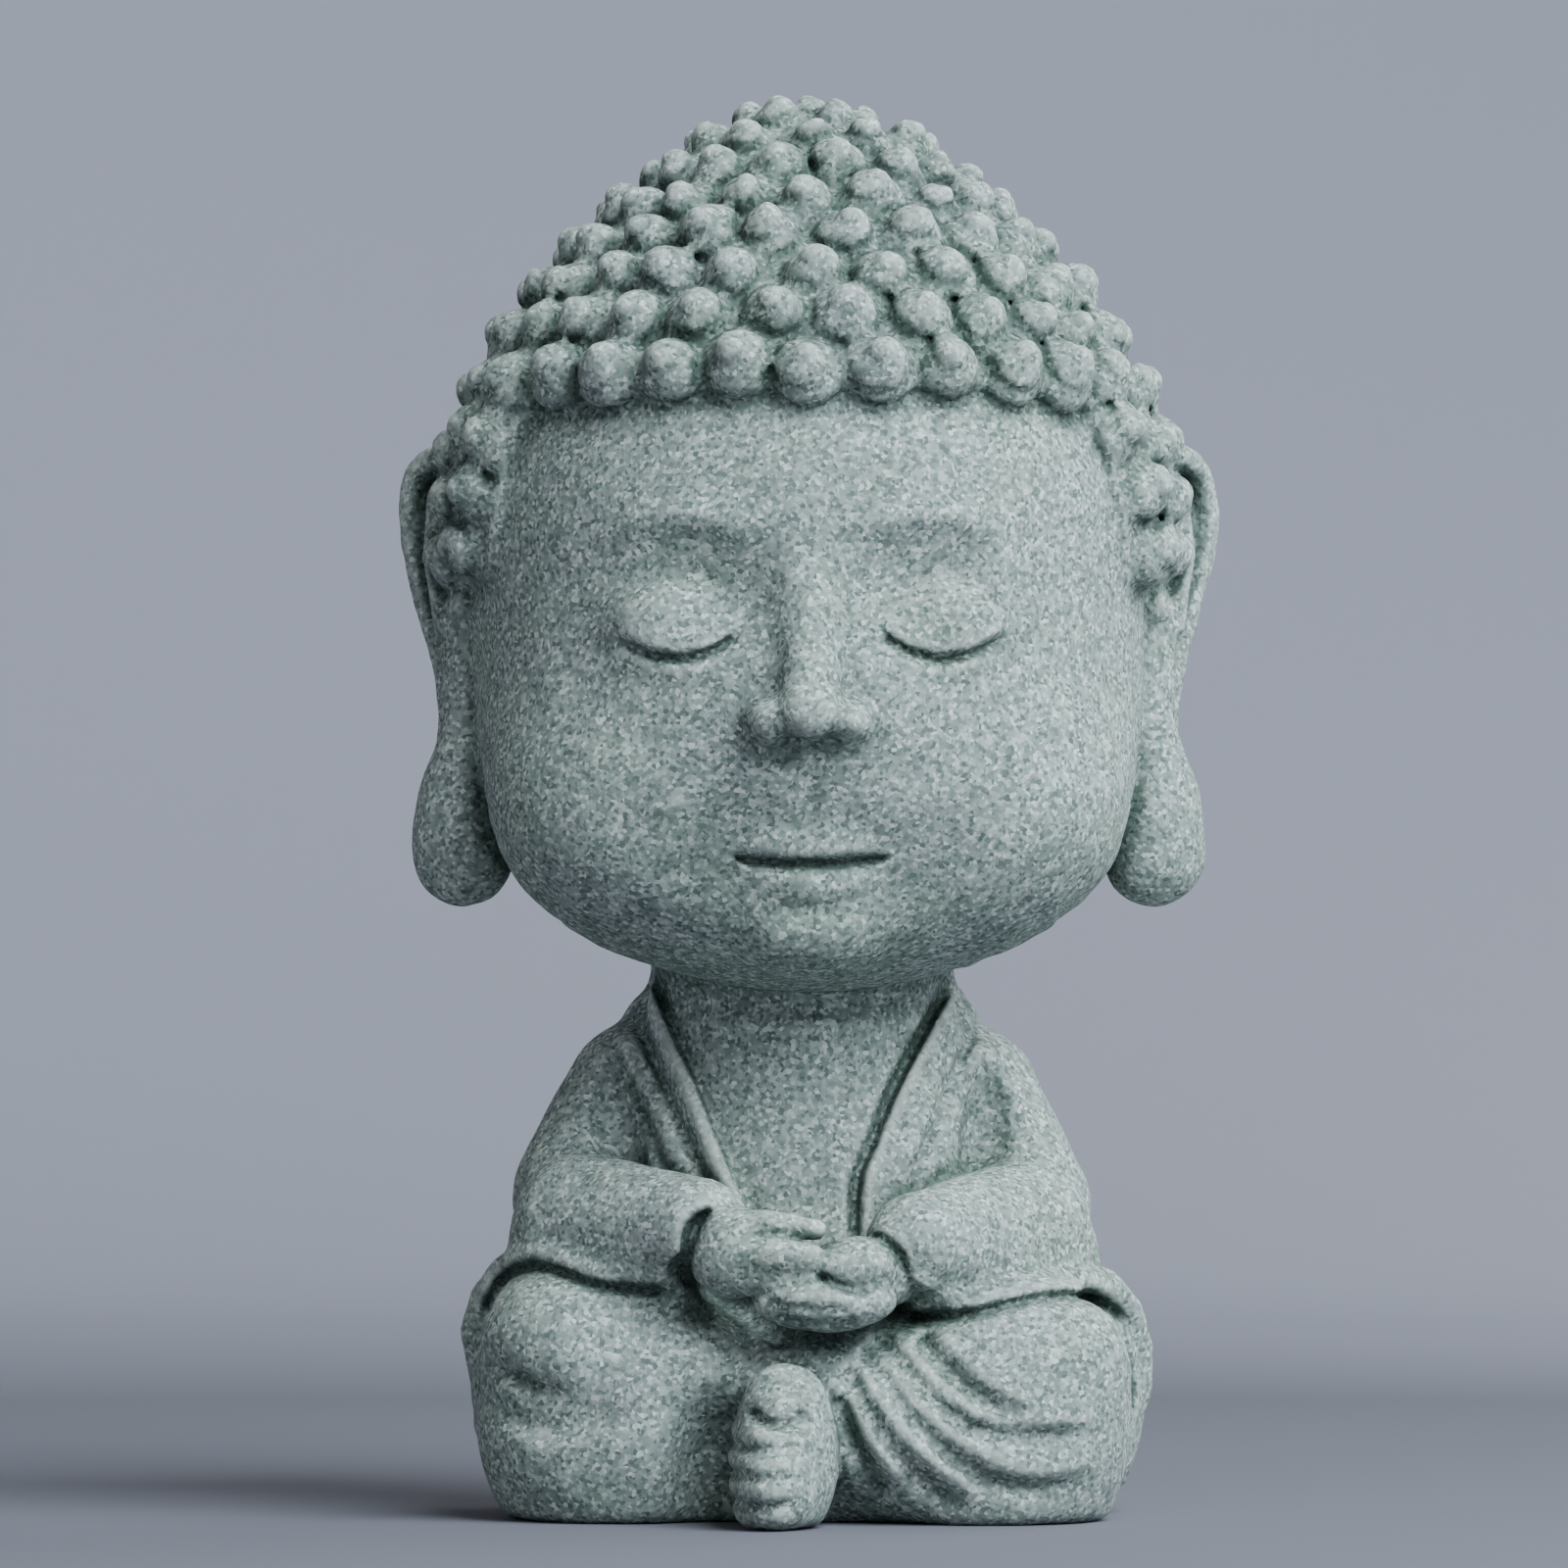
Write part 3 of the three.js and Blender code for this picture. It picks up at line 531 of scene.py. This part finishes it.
def add_hands(clay):
    """The hand on the left lies on the other one, whose fingers show below it."""
    # Room for the hands in front of the belly, and the shadowed crease under them.
    clay.cut(ellipsoid((-9.6, -32.0, 31.4), (5.2, 7.0, 8.2), turn_about("y", -28)), 1.0)
    clay.cut(ellipsoid((5.0, -33.0, 30.0), (7.6, 6.5, 6.6)), 1.0)
    under = [
        (-15.4, -27.0, 30.0), (-12, -27.2, 28.6), (-6, -28.0, 26.5),
        (2, -30.5, 24.5), (10, -30.5, 24.5),
    ]
    clay.cut(limb(under, (1.6, 3.4, 3.2, 1.8, 1.0)), 1.2)
    crease = [(-15.5, 31.5), (-12.2, 29.3), (-8.9, 27.0), (-6.0, 25.0), (-3.2, 23.0)]
    clay.cut(limb(clay.lay(crease, 9, 0.4), 1.7), 1.2)

    # The upper hand: its wrist, its back and three rows of fingers.
    hands = Clay(*HANDS)
    hands.add(limb([(-14, -23.5, 34.4), (-9.6, -28.0, 34)], (4.2, 5.0)))
    hands.add(ellipsoid((-9.0, -28.7, 33.0), (4.9, 5.4, 5.2), turn_about("y", 25)), 2)
    fingers = (
        ([(-10, -30.1, 35.8), (-5, -31.9, 36.9), (0.6, -32.1, 36.2)], (2.4, 1.8, 1.3), 1.0),
        ([(-8.5, -31.9, 32.9), (-4, -33.7, 33.2), (0.2, -33.9, 32.9)], (2.4, 2.2, 1.6), 0.8),
        ([(-7.5, -31.3, 30.2), (-3.5, -32.9, 30.8), (0.2, -33.3, 31.0)], (2.2, 1.8, 1.3), 0.8),
    )
    for path, radii, soft in fingers:
        hands.add(limb(path, radii), soft)

    # The lower hand: its wrist, its thumb and its fingers.
    lower = Clay(*HANDS)
    lower.add(limb([(13, -23.5, 32), (7, -28.0, 30.5)], (4.0, 4.6)))
    lower.add(ellipsoid((4.8, -30.7, 31.6), (5.7, 4.8, 3.5), turn_about("y", -6)), 1.4)
    lower.add(ellipsoid((1.8, -30.9, 27.6), (8.8, 5.4, 3.9)), 0.5)
    hands.merge(lower, 0.4)
    emboss_all(
        hands,
        [
            line_relief([(0.4, 31.0), (2.4, 29.9), (4.6, 29.0), (7.4, 28.6)], -0.9, 0.55),
            line_relief([(-6.0, 28.2), (-3.0, 27.0), (1.4, 26.6), (5.6, 26.8)], -0.8, 0.5),
            line_relief([(-4.8, 26.4), (-1.4, 25.4), (2.6, 25.0), (6.4, 25.3)], -0.7, 0.5),
        ],
        (-24, 14),
        (24, 48),
        depth=(20.0, 26.0),
    )
    clay.merge(hands, 0.3)

    # The shadowed edge of the left cuff.
    cuff = [(-12.6, 38.4), (-14.2, 36), (-15.2, 33), (-15.0, 30)]
    clay.cut(limb(clay.lay(cuff, 7, 0.2), (0.3, 0.6, 0.8, 0.9, 1.0, 1.0, 0.8)), 0.8)


def add_foot(clay):
    """One foot lies on its side in front, its toes one above another."""
    clay.cut(ellipsoid((-3.0, -38, 9), (9.6, 10, 16.5)), 1.2)
    clay.cut(ellipsoid((-11.5, -31.0, 3), (6.2, 10.5, 14.0)), 3)
    foot = Clay(*FOOT)
    foot.add(ellipsoid((-3.0, -29.5, 8.6), (6.6, 12, 11.2)))
    foot.add(ellipsoid((-3.0, -34.5, 14.6), (5.0, 5.0, 5.4)), 2)
    foot.add(ellipsoid((-4.2, -33.0, 5.6), (5.3, 10.5, 8.6)), 2)
    big_toe = [(-7.4, 15.0), (-5.6, 13.2), (-3.6, 12.6), (-1.6, 13.2), (-0.6, 15.0)]
    between_toes = [
        [(-10.4, z + 0.7), (-7.4, z), (-4.2, z - 0.1), (-1.0, z + 0.6)] for z in (9.9, 6.5, 3.2)
    ]
    toes = [[(-9.8, z), (-7.4, z), (-4.2, z), (-1.8, z + 0.4)] for z in (11.7, 8.2, 4.9, 1.6)]
    emboss_all(
        foot,
        [
            line_relief(big_toe, -1.1, 0.65),
            line_relief([(-6.0, 18.0), (-3.6, 17.4), (-1.4, 18.0)], -0.3, 0.9),
            *[line_relief(path, -0.7, 0.55, (0, 0.25)) for path in between_toes],
            *[line_relief(path, 0.25, 1.2, (0, 0.3)) for path in toes],
        ],
        (-16, -3),
        (10, 30),
        depth=(18.0, 24.0),
    )
    clay.merge(foot, 0.3)


# ---- Head -------------------------------------------------------------------------------------

LID_LINE = [(EYE_WIDTH * (1 + t / 2), EYES - 3.4 + 3.2 * t * t) for t in (-1, -0.5, 0, 0.5, 1)]
LID_CREASE = [(EYE_WIDTH * (1 + t / 2), EYES + 6.6 - 4.0 * t * t) for t in (-1, -0.5, 0, 0.5, 1)]
BROW_LINE = [(EYE_WIDTH * (1 + 0.72 * t), BROW - 0.5 - 3.4 * t * t) for t in (-1, -0.4, 0.2, 1)]


def both(reliefs):
    """The same reliefs on both sides."""
    return [*reliefs, *[lambda x, z, relief=relief: relief(-x, z) for relief in reliefs]]


def sculpt_face():
    clay = Clay(*FACE)
    clay.add(ellipsoid((0, 0, 118), (43, 43, 46)))
    clay.add(dome(SKULL_RADIUS - 1.4, DOME_RISE - 2, SHARPNESS, CROWN - 2), 2)
    clay.add(ellipsoid((0, -5, 96.5), (40.5, 38.5, 28)), 9)
    clay.add(ellipsoid((0, -19, CHIN + 9.5), (22, 18, 10)), 9)
    clay.add_pair(ellipsoid((22, -20, 87), (16, 17, 14.5)), 9)
    clay.add(ellipsoid((0, -31, CHIN + 6), (8, 6.4, 5)), 4)

    clay.cut_pair(ellipsoid((EYE_WIDTH, -49.5, EYES + 4.5), (12, 9.5, 7.5)), 6)
    clay.add_pair(ellipsoid((EYE_WIDTH, -34.2, EYES + 0.8), (9, 7.2, 6.6)), 2.2)

    nose = Clay(*NOSE)
    bridge = [(0, -38.6, BROW - 4), (0, -42.8, EYES), (0, -46.2, NOSE_BASE + 4.5)]
    nose.add(limb(bridge, (3.4, 3, 3.3)))
    nose.add(ellipsoid((0, -46.9, NOSE_BASE + 3.2), (3.9, 3.8, 3.3)), 2)
    nose.add_pair(ellipsoid((4.5, -44.8, NOSE_BASE + 2.4), (2.7, 3.4, 2.5)), 1.2)
    clay.merge(nose, 3)
    clay.cut_pair(ellipsoid((2.4, -46.6, NOSE_BASE - 0.4), (1.3, 1.8, 1.0)), 0.5)

    upper = [(x, MOUTH + z) for x, z in ((-9.6, 0.6), (-4.6, 2.0), (0, 1.5), (4.6, 2.0), (9.6, 0.6))]
    lower = [(x, MOUTH - z) for x, z in ((-7.0, 1.6), (0, 2.9), (7.0, 1.6))]
    upper_radii = np.interp(range(15), (0, 5, 9, 14), (0.9, 2.0, 2.0, 0.9))
    lower_radii = np.interp(range(13), (0, 6, 12), (1.2, 2.6, 1.2))
    clay.add(limb(clay.lay(upper, 15, 0.9), upper_radii), 1.6)
    clay.add(limb(clay.lay(lower, 13, 1.5), lower_radii), 1.6)

    eyes = [
        step_relief(LID_LINE, 0.7, 0.4, 3.5, (0.12, 0.12)),
        line_relief([(x, z - 0.45) for x, z in LID_LINE], -0.8, 0.5, (0.1, 0.1)),
        line_relief([(x, z - 2.2) for x, z in LID_LINE], 0.4, 1.2, (0.3, 0.3)),
        line_relief(LID_CREASE, -0.4, 0.8, (0.3, 0.3)),
        line_relief(BROW_LINE, 1.0, 2.2, (0.3, 0.4)),
    ]
    lips = ((-10.2, 0.5), (-5, -0.3), (0, -0.5), (5, -0.3), (10.2, 0.5))
    below = ((-6.5, -5.9), (0, -6.8), (6.5, -5.9))
    mouth = [
        line_relief([(x, MOUTH + z) for x, z in lips], -1.0, 0.5, (0.08, 0.08)),
        line_relief([(0, NOSE_BASE - 1.5), (0, MOUTH + 4.0)], -0.5, 1.2, (0.1, 0.3)),
        line_relief([(x, MOUTH + z) for x, z in below], -0.6, 1.6, (0.3, 0.3)),
    ]
    emboss_all(clay, [*both(eyes), *mouth], (-40, 60), (40, 140), depth=(14.0, 20.0))
    return clay


def on_ear(out, forward, up):
    """A place on the right-hand ear: out from its root, forward of its face, and up."""
    turn = turn_about("z", EAR_TURN)
    return tuple(EAR_ROOT + turn @ np.array([out, -forward, 0.0]) + np.array([0.0, 0.0, up]))


def sculpt_ear():
    turn = turn_about("z", EAR_TURN)
    ear = Clay(*RIGHT_EAR)
    blade = [(3.6, 1.5, 128), (3.0, 1.5, 118), (1.6, 1.5, 108), (0.8, 1.8, 99), (2.8, 2.2, 88)]
    ear.add(limb([on_ear(*p) for p in blade], (4.6, 4.4, 4.4, 4.9, 5.4)))
    ear.add(ellipsoid(on_ear(3.2, 2.2, 87.5), (6.2, 5.2, 9.5), turn), 3)
    ear.add(ellipsoid(on_ear(3.4, 2.2, 82.2), (6.1, 5.2, 5.2), turn), 4)
    rim = [
        (-3, 2.6, 122), (-1.2, 3.2, 129.4), (3.6, 3.6, 133.2), (9.4, 3.2, 132.4),
        (12.0, 2.6, 127.0), (10.8, 2.4, 119.5), (7.6, 2.6, 111.5),
        (5.0, 2.8, 103.0), (4.8, 2.8, 95.0),
    ]
    ear.add(limb([on_ear(*p) for p in curve_through(rim, 26)], 1.75), 0.9)
    ear.add(ellipsoid(on_ear(6.4, 0.9, 119.5), (6.6, 1.9, 12.5), turn), 1.0)
    slot = [on_ear(8.6, 5.2, 129.4), on_ear(9.2, 5.0, 125), on_ear(7.4, 5.2, 119)]
    ear.cut(limb(slot, (1.7, 2.0, 1.0)), 0.7)
    ear.cut(ellipsoid(on_ear(4.4, 6.4, 119), (2.6, 2.6, 4.6), turn), 1.0)
    ridge = [on_ear(6.2, 4.2, 128), on_ear(6.6, 4.6, 121), on_ear(5.4, 4.4, 112)]
    ear.add(limb(ridge, (1.1, 1.2, 1.0)), 0.8)
    ear.add(ellipsoid(on_ear(0.4, 5.0, 114.5), (1.7, 2.0, 2.6), turn), 0.9)
    return ear


def hairline(from_front):
    """The lowest height of the hair, by the angle in degrees from straight ahead."""
    temple = smooth_step(54, 68, from_front)
    nape = smooth_step(96, 112, from_front)
    return (HAIR_FRONT + (HAIR_TEMPLE - HAIR_FRONT) * temple) * (1 - nape) + HAIR_NAPE * nape


def above_hairline(x, y, z):
    return z - hairline(np.degrees(np.abs(np.arctan2(x, -1 - y))))


def place_curls(scalp):
    """Rows of curls down the scalp: their places on it and their sizes."""

    def onto(polar, round_):
        heading = np.array(
            [math.sin(polar) * math.sin(round_), -math.sin(polar) * math.cos(round_), math.cos(polar)]
        )
        reach = np.arange(20, 75, STEP)
        centre = np.array([0, -1, 112.0])
        along = scalp.sample(centre + reach[:, None] * heading)
        last = np.nonzero(along < 0)[0][-1]
        share = along[last] / (along[last] - along[last + 1])
        return centre + heading * (reach[last] + share * STEP)

    polars = np.radians(np.arange(0, 130, 0.25))
    profile = np.array([onto(polar, 0) for polar in polars])
    travelled = np.concatenate([[0], np.cumsum(np.linalg.norm(np.diff(profile, axis=0), axis=1))])
    pitch = np.interp(-FRONT_ROW, -profile[:, 2], travelled) / ROWS
    places = []
    for row in range(int(travelled[-1] / pitch)):
        polar = np.interp(row * pitch, travelled, polars)
        size = CURL_RADIUS + CURL_GROWTH * smooth_step(8, 46, row * pitch)
        girth = 2 * math.pi * np.interp(polar, polars, np.hypot(profile[:, 0], profile[:, 1] + 1))
        count = max(1, round(girth / (1.98 * size)))
        for i in range(count):
            shift = rng.uniform(-0.09, 0.09, 2) if row else (0, 0)
            place = onto(polar + shift[0] * 0.15, (i + row % 2 / 2 + shift[1]) / count * 2 * math.pi)
            if above_hairline(*place) > 3.2:
                places.append((place, size * rng.uniform(0.9, 1.08)))
    return places


def sculpt_hair():
    scalp = Clay(*HAIR)
    scalp.add(dome(SKULL_RADIUS, DOME_RISE, SHARPNESS, CROWN))
    scalp.add(ellipsoid((0, 0, 118), (43.4, 43.4, 46.4)), 1)
    places = place_curls(scalp)
    probes = np.eye(3) * 0.5
    normals = [
        np.array([np.diff(scalp.sample(place + np.array([-p, p])))[0] for p in probes])
        for place, size in places
    ]
    _, (x, y, z) = scalp.window(*HAIR)
    scalp.field = -soft_min(-scalp.field, (above_hairline(x, y, z) - 1.8) * 0.8, 1.5)
    for (place, size), normal in zip(places, normals):
        add_curl(scalp, place, normal / np.linalg.norm(normal), size)
    return scalp


def add_curl(clay, place, normal, size):
    """A mound that rises to a small top, with a shallow spiral groove wound up it."""
    across = np.cross(rng.uniform(-1, 1, 3), normal)
    across /= np.linalg.norm(across)
    axes = np.stack([across, np.cross(normal, across), normal], axis=1)
    lean = axes[:, :2] @ rng.uniform(-0.5, 0.5, 2) + np.array([0, 0, 0.35])
    middle = place - normal * size * 0.05
    radii = np.array([rng.uniform(1.0, 1.14), rng.uniform(0.96, 1.06), 0.92]) * size
    clay.add(ellipsoid(middle, radii, axes), 1.3)
    top = middle + normal * size * 0.64 + lean
    clay.add(ellipsoid(top, np.array([0.5, 0.46, 0.5]) * size, axes), 1.7)
    start = rng.uniform(0, 2 * math.pi)
    spiral = []
    for t in np.linspace(0, 1, 13):
        polar = math.radians(80 - 62 * t)
        turned = start + t * 2 * math.pi * 1.3
        ring = radii * (
            math.sin(polar) * math.cos(turned),
            math.sin(polar) * math.sin(turned),
            math.cos(polar) * (1 + 0.26 * t),
        )
        spiral.append(middle + axes @ (ring * 1.03) + lean * t)
    clay.cut(limb(spiral, 0.4), 1.0)


# ---- The whole figure ---------------------------------------------------------------------------


def lumps(shape, spacing, seed):
    """Smooth random unevenness, about 1 high, on a grid."""
    sizes = [int(n * STEP / spacing) + 3 for n in shape]
    values = np.random.default_rng(seed).standard_normal(sizes).astype(np.float32)
    for axis, n in enumerate(shape):
        at = np.arange(n) * STEP / spacing
        base = at.astype(int)
        part = at - base
        part = (part * part * (3 - 2 * part)).astype(np.float32)
        part = part.reshape([-1 if i == axis else 1 for i in range(3)])
        values = np.take(values, base, axis) * (1 - part) + np.take(values, base + 1, axis) * part
    return values


def sculpt_figure():
    figure = Clay(*FIGURE)
    figure.merge(sculpt_body())
    figure.merge(sculpt_face(), 1.2)
    ear = sculpt_ear()
    figure.merge(ear, 0.8)
    other = Clay(*LEFT_EAR)
    other.field = ear.field[::-1].copy()
    other.start[0] = -(ear.start[0] + ear.shape[0] - 1)
    other.shape = ear.shape
    figure.merge(other, 0.8)
    figure.merge(sculpt_hair(), 0.5)
    for height, spacing, seed in UNEVENNESS:
        figure.field += height * lumps(figure.shape, spacing, seed)
    slices, (_, _, z) = figure.window(FIGURE[0], (56, 54, 3))
    figure.field[slices] = np.maximum(figure.field[slices], -z)
    return figure


def mesh_of(clay):
    """The clay's surface as a mesh in millimetres, thinned to the wanted number of triangles."""
    grid = openvdb.FloatGrid(FAR)
    grid.copyFromArray(np.clip(clay.field, -3 * STEP, 3 * STEP))
    points, quads = grid.convertToQuads()
    mesh = bpy.data.meshes.new("full_surface")
    mesh.from_pydata((points + clay.start) * STEP, [], quads)
    mesh.update()
    full = bpy.data.objects.new("full_surface", mesh)
    bpy.context.scene.collection.objects.link(full)
    thin = full.modifiers.new("thin", "DECIMATE")
    thin.ratio = min(1.0, FACES / (2 * len(quads)))
    graph = bpy.context.evaluated_depsgraph_get()
    thinned = bpy.data.meshes.new_from_object(full.evaluated_get(graph))
    bpy.data.objects.remove(full)
    bpy.data.meshes.remove(mesh)
    keep_one_skin(thinned)
    return thinned


def keep_one_skin(mesh):
    """Drops the specks and pinholes apart from the main skin, and faces without area."""
    ends = np.empty(len(mesh.edges) * 2, int)
    mesh.edges.foreach_get("vertices", ends)
    a, b = ends.reshape(-1, 2).T
    label = np.arange(len(mesh.vertices))
    while not np.array_equal(label[a], label[b]):
        lower = np.minimum(label[a], label[b])
        np.minimum.at(label, a, lower)
        np.minimum.at(label, b, lower)
        label = label[label]
    main = np.bincount(label).argmax()
    work = bmesh.new()
    work.from_mesh(mesh)
    work.verts.ensure_lookup_table()
    stray = [work.verts[i] for i in np.nonzero(label != main)[0]]
    bmesh.ops.delete(work, geom=stray, context="VERTS")
    bmesh.ops.dissolve_degenerate(work, dist=0.002, edges=work.edges)
    bmesh.ops.triangulate(work, faces=work.faces)
    work.to_mesh(mesh)
    work.free()


def add_shelter(mesh, clay):
    """Two values at each point of the mesh: how sheltered it is, which sets the painted shade in
    hollows, and how sharply it stands out.
    """
    count = len(mesh.vertices)
    points, normals = np.empty(count * 3), np.empty(count * 3)
    mesh.vertices.foreach_get("co", points)
    mesh.vertices.foreach_get("normal", normals)
    points, normals = points.reshape(-1, 3), normals.reshape(-1, 3)
    shelter = np.zeros(count)
    for away, weight in ((1.2, 0.3), (2.4, 0.35), (4.8, 0.35)):
        open_ = clay.sample(points + normals * away) / away
        shelter += weight * np.clip(1 - open_, 0, 1)
    crest = -clay.sample(points)
    for axis in np.eye(3):
        for way in (-1.4, 1.4):
            crest += clay.sample(points + axis * way) / 6
    for name, values in (("shelter", shelter), ("crest", crest)):
        attribute = mesh.attributes.new(name, "FLOAT", "POINT")
        attribute.data.foreach_set("value", values.astype(np.float32))


# ---- Material -----------------------------------------------------------------------------------


def rgb(r, g, b):
    """A colour given as on a screen, 0 to 255, as the shader takes it."""
    linear = [((c / 255 + 0.055) / 1.055) ** 2.4 for c in (r, g, b)]
    return (*linear, 1.0)


def stone_material():
    material = bpy.data.materials.new("cast_sandstone")
    material.use_nodes = True
    nodes, links = material.node_tree.nodes, material.node_tree.links
    shader = nodes["Principled BSDF"]
    shader.inputs["Roughness"].default_value = 0.9
    shader.inputs["Specular IOR Level"].default_value = 0.25
    place = nodes.new("ShaderNodeTexCoord").outputs["Object"]

    def put(kind, **settings):
        node = nodes.new(kind)
        for name, value in settings.items():
            setattr(node, name, value)
        return node

    def ramp(source, stops):
        node = put("ShaderNodeValToRGB")
        while len(node.color_ramp.elements) < len(stops):
            node.color_ramp.elements.new(0.5)
        for element, (position, color) in zip(node.color_ramp.elements, stops):
            element.position = position
            element.color = color if len(color) == 4 else (*color, 1.0)
        links.new(source, node.inputs["Fac"])
        return node.outputs["Color"]

    def mixed(a, b, factor, blend="MIX"):
        node = put("ShaderNodeMix", data_type="RGBA", blend_type=blend)
        for name, value in (("A", a), ("B", b), ("Factor", factor)):
            socket = node.inputs[{"Factor": 0, "A": 6, "B": 7}[name]]
            if isinstance(value, (int, float, tuple)):
                socket.default_value = value
            else:
                links.new(value, socket)
        return node.outputs[2]

    def noise(scale, detail=2.0, rough=0.5):
        node = put("ShaderNodeTexNoise")
        node.inputs["Scale"].default_value = scale
        node.inputs["Detail"].default_value = detail
        node.inputs["Roughness"].default_value = rough
        links.new(place, node.inputs["Vector"])
        return node.outputs["Fac"]

    # Grains of sand, about half a millimetre across, each of its own shade.
    grains = put("ShaderNodeTexVoronoi", feature="F1")
    grains.inputs["Scale"].default_value = 2000.0
    links.new(place, grains.inputs["Vector"])
    shade = put("ShaderNodeSeparateColor")
    links.new(grains.outputs["Color"], shade.inputs["Color"])
    grain = ramp(
        shade.outputs["Red"],
        [
            (0.0, rgb(98, 110, 104)),
            (0.22, rgb(130, 141, 133)),
            (0.6, rgb(158, 167, 159)),
            (0.85, rgb(184, 190, 182)),
            (1.0, rgb(222, 223, 216)),
        ],
    )
    # Broad drifts between greener and greyer stone.
    drift = ramp(noise(70.0, 3.0), [(0.3, rgb(205, 222, 208)), (0.7, rgb(224, 226, 232))])
    color = mixed(grain, drift, 0.55, "MULTIPLY")
    blotch = ramp(noise(420.0, 3.0, 0.6), [(0.3, (0.72, 0.74, 0.73)), (0.7, (1.0, 1.0, 1.0))])
    color = mixed(color, blotch, 0.6, "MULTIPLY")

    # Painted shade: sheltered places are darkened where shade falls, and tinted greener as with patina;
    # crests are rubbed pale.
    shelter = put("ShaderNodeAttribute", attribute_name="shelter")
    depth = ramp(shelter.outputs["Fac"], [(0.06, (0, 0, 0)), (0.6, (1, 1, 1))])
    # Painted shade with a green patina tint, laid on by how sheltered each point is.
    color = mixed(color, mixed(color, rgb(146, 158, 152), 1.0, "MULTIPLY"), depth)
    crest = put("ShaderNodeAttribute", attribute_name="crest")
    worn = ramp(crest.outputs["Fac"], [(0.1, (0, 0, 0)), (0.5, (0.5, 0.5, 0.5))])
    color = mixed(color, rgb(198, 203, 192), worn)
    links.new(color, shader.inputs["Base Color"])

    # The grains stand proud of each other a little.
    bump = put("ShaderNodeBump")
    bump.inputs["Strength"].default_value = 0.5
    bump.inputs["Distance"].default_value = 0.00025
    height = mixed(shade.outputs["Green"], noise(2400.0, 2.0), 0.4)
    links.new(height, bump.inputs["Height"])
    links.new(bump.outputs["Normal"], shader.inputs["Normal"])
    return material


# ---- Putting it in the frame ----------------------------------------------------------------------


def make_figure():
    clay = sculpt_figure()
    mesh = mesh_of(clay)
    add_shelter(mesh, clay)

    # From millimetres to metres, and to the middle of the CAD solid's box.
    low, high = (np.array(corner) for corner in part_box("statue"))
    count = len(mesh.vertices)
    points = np.empty(count * 3)
    mesh.vertices.foreach_get("co", points)
    points = points.reshape(-1, 3) / 1000
    middle = (points.min(axis=0) + points.max(axis=0)) / 2
    points[:, :2] += ((low + high) / 2 - middle)[:2]
    points[:, 2] += low[2] - points[:, 2].min()
    mesh.vertices.foreach_set("co", points.ravel())
    mesh.name = "stone_figure"
    mesh.update()
    mesh.shade_smooth()
    mesh.materials.clear()
    mesh.materials.append(stone_material())
    figure = bpy.data.objects.new("stone_figure", mesh)
    bpy.context.scene.collection.objects.link(figure)
    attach(figure, "root")
    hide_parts("statue")


def make_stage():
    """A round floor that curves up into a wall on every side."""
    flat = FLOOR_REACH - FLOOR_CURVE
    profile = [(flat, 0.0)]
    for i in range(1, CURVE_STEPS + 1):
        angle = math.radians(90 * i / CURVE_STEPS)
        out, up = FLOOR_CURVE * math.sin(angle), FLOOR_CURVE - FLOOR_CURVE * math.cos(angle)
        profile.append((flat + out, up))
    profile.append((FLOOR_REACH, WALL_TOP))
    turns = [2 * math.pi * i / FLOOR_SIDES for i in range(FLOOR_SIDES)]
    points = [(r * math.cos(a), r * math.sin(a), z) for r, z in profile for a in turns]
    faces = [tuple(range(FLOOR_SIDES))]
    for ring in range(len(profile) - 1):
        for i in range(FLOOR_SIDES):
            a, b = ring * FLOOR_SIDES + i, ring * FLOOR_SIDES + (i + 1) % FLOOR_SIDES
            faces.append((b, a, a + FLOOR_SIDES, b + FLOOR_SIDES))
    mesh = bpy.data.meshes.new("backdrop")
    mesh.from_pydata(points, [], faces)
    mesh.shade_smooth()
    backdrop = bpy.data.objects.new("backdrop", mesh)
    bpy.context.scene.collection.objects.link(backdrop)
    material = bpy.data.materials.new("backdrop_paper")
    material.use_nodes = True
    shader = material.node_tree.nodes["Principled BSDF"]
    nodes, links = material.node_tree.nodes, material.node_tree.links
    place = nodes.new("ShaderNodeTexCoord")
    away = nodes.new("ShaderNodeVectorMath")
    away.operation = "LENGTH"
    links.new(place.outputs["Object"], away.inputs[0])
    # Painted shade: the colour darkens with nearness to the middle of the floor.
    painted_shade_ramp = nodes.new("ShaderNodeValToRGB")
    for element, (distance, color) in zip(painted_shade_ramp.color_ramp.elements, (NEAR_SHADE_TONE, FAR_TONE)):
        element.position = distance
        element.color = rgb(*color)
    links.new(away.outputs["Value"], painted_shade_ramp.inputs["Fac"])
    links.new(painted_shade_ramp.outputs["Color"], shader.inputs["Base Color"])
    shader.inputs["Roughness"].default_value = 0.85
    shader.inputs["Specular IOR Level"].default_value = 0.2
    mesh.materials.append(material)


def aimed(thing, place, target):
    """An object for a camera or a light, turned towards a target."""
    holder = bpy.data.objects.new(thing.name, thing)
    holder.location = place
    holder.rotation_euler = (Vector(target) - Vector(place)).to_track_quat("-Z", "Y").to_euler()
    bpy.context.scene.collection.objects.link(holder)
    return holder


def make_camera():
    camera = bpy.data.cameras.new("camera")
    camera.lens = LENS
    camera.sensor_width = SENSOR
    bpy.context.scene.camera = aimed(camera, CAMERA_PLACE, TARGET)


def make_lights():
    for name, place, width, watts, color in LIGHTS:
        light = bpy.data.lights.new(name, "AREA")
        light.shape = "DISK"
        light.size = width
        light.energy = watts
        light.color = color
        aimed(light, place, LIGHT_TARGET)
    world = bpy.data.worlds.new("studio")
    world.use_nodes = True
    background = world.node_tree.nodes["Background"]
    background.inputs["Color"].default_value = rgb(*AROUND_COLOR)
    background.inputs["Strength"].default_value = AROUND_STRENGTH
    bpy.context.scene.world = world


make_stage()
make_camera()
make_lights()
make_figure()
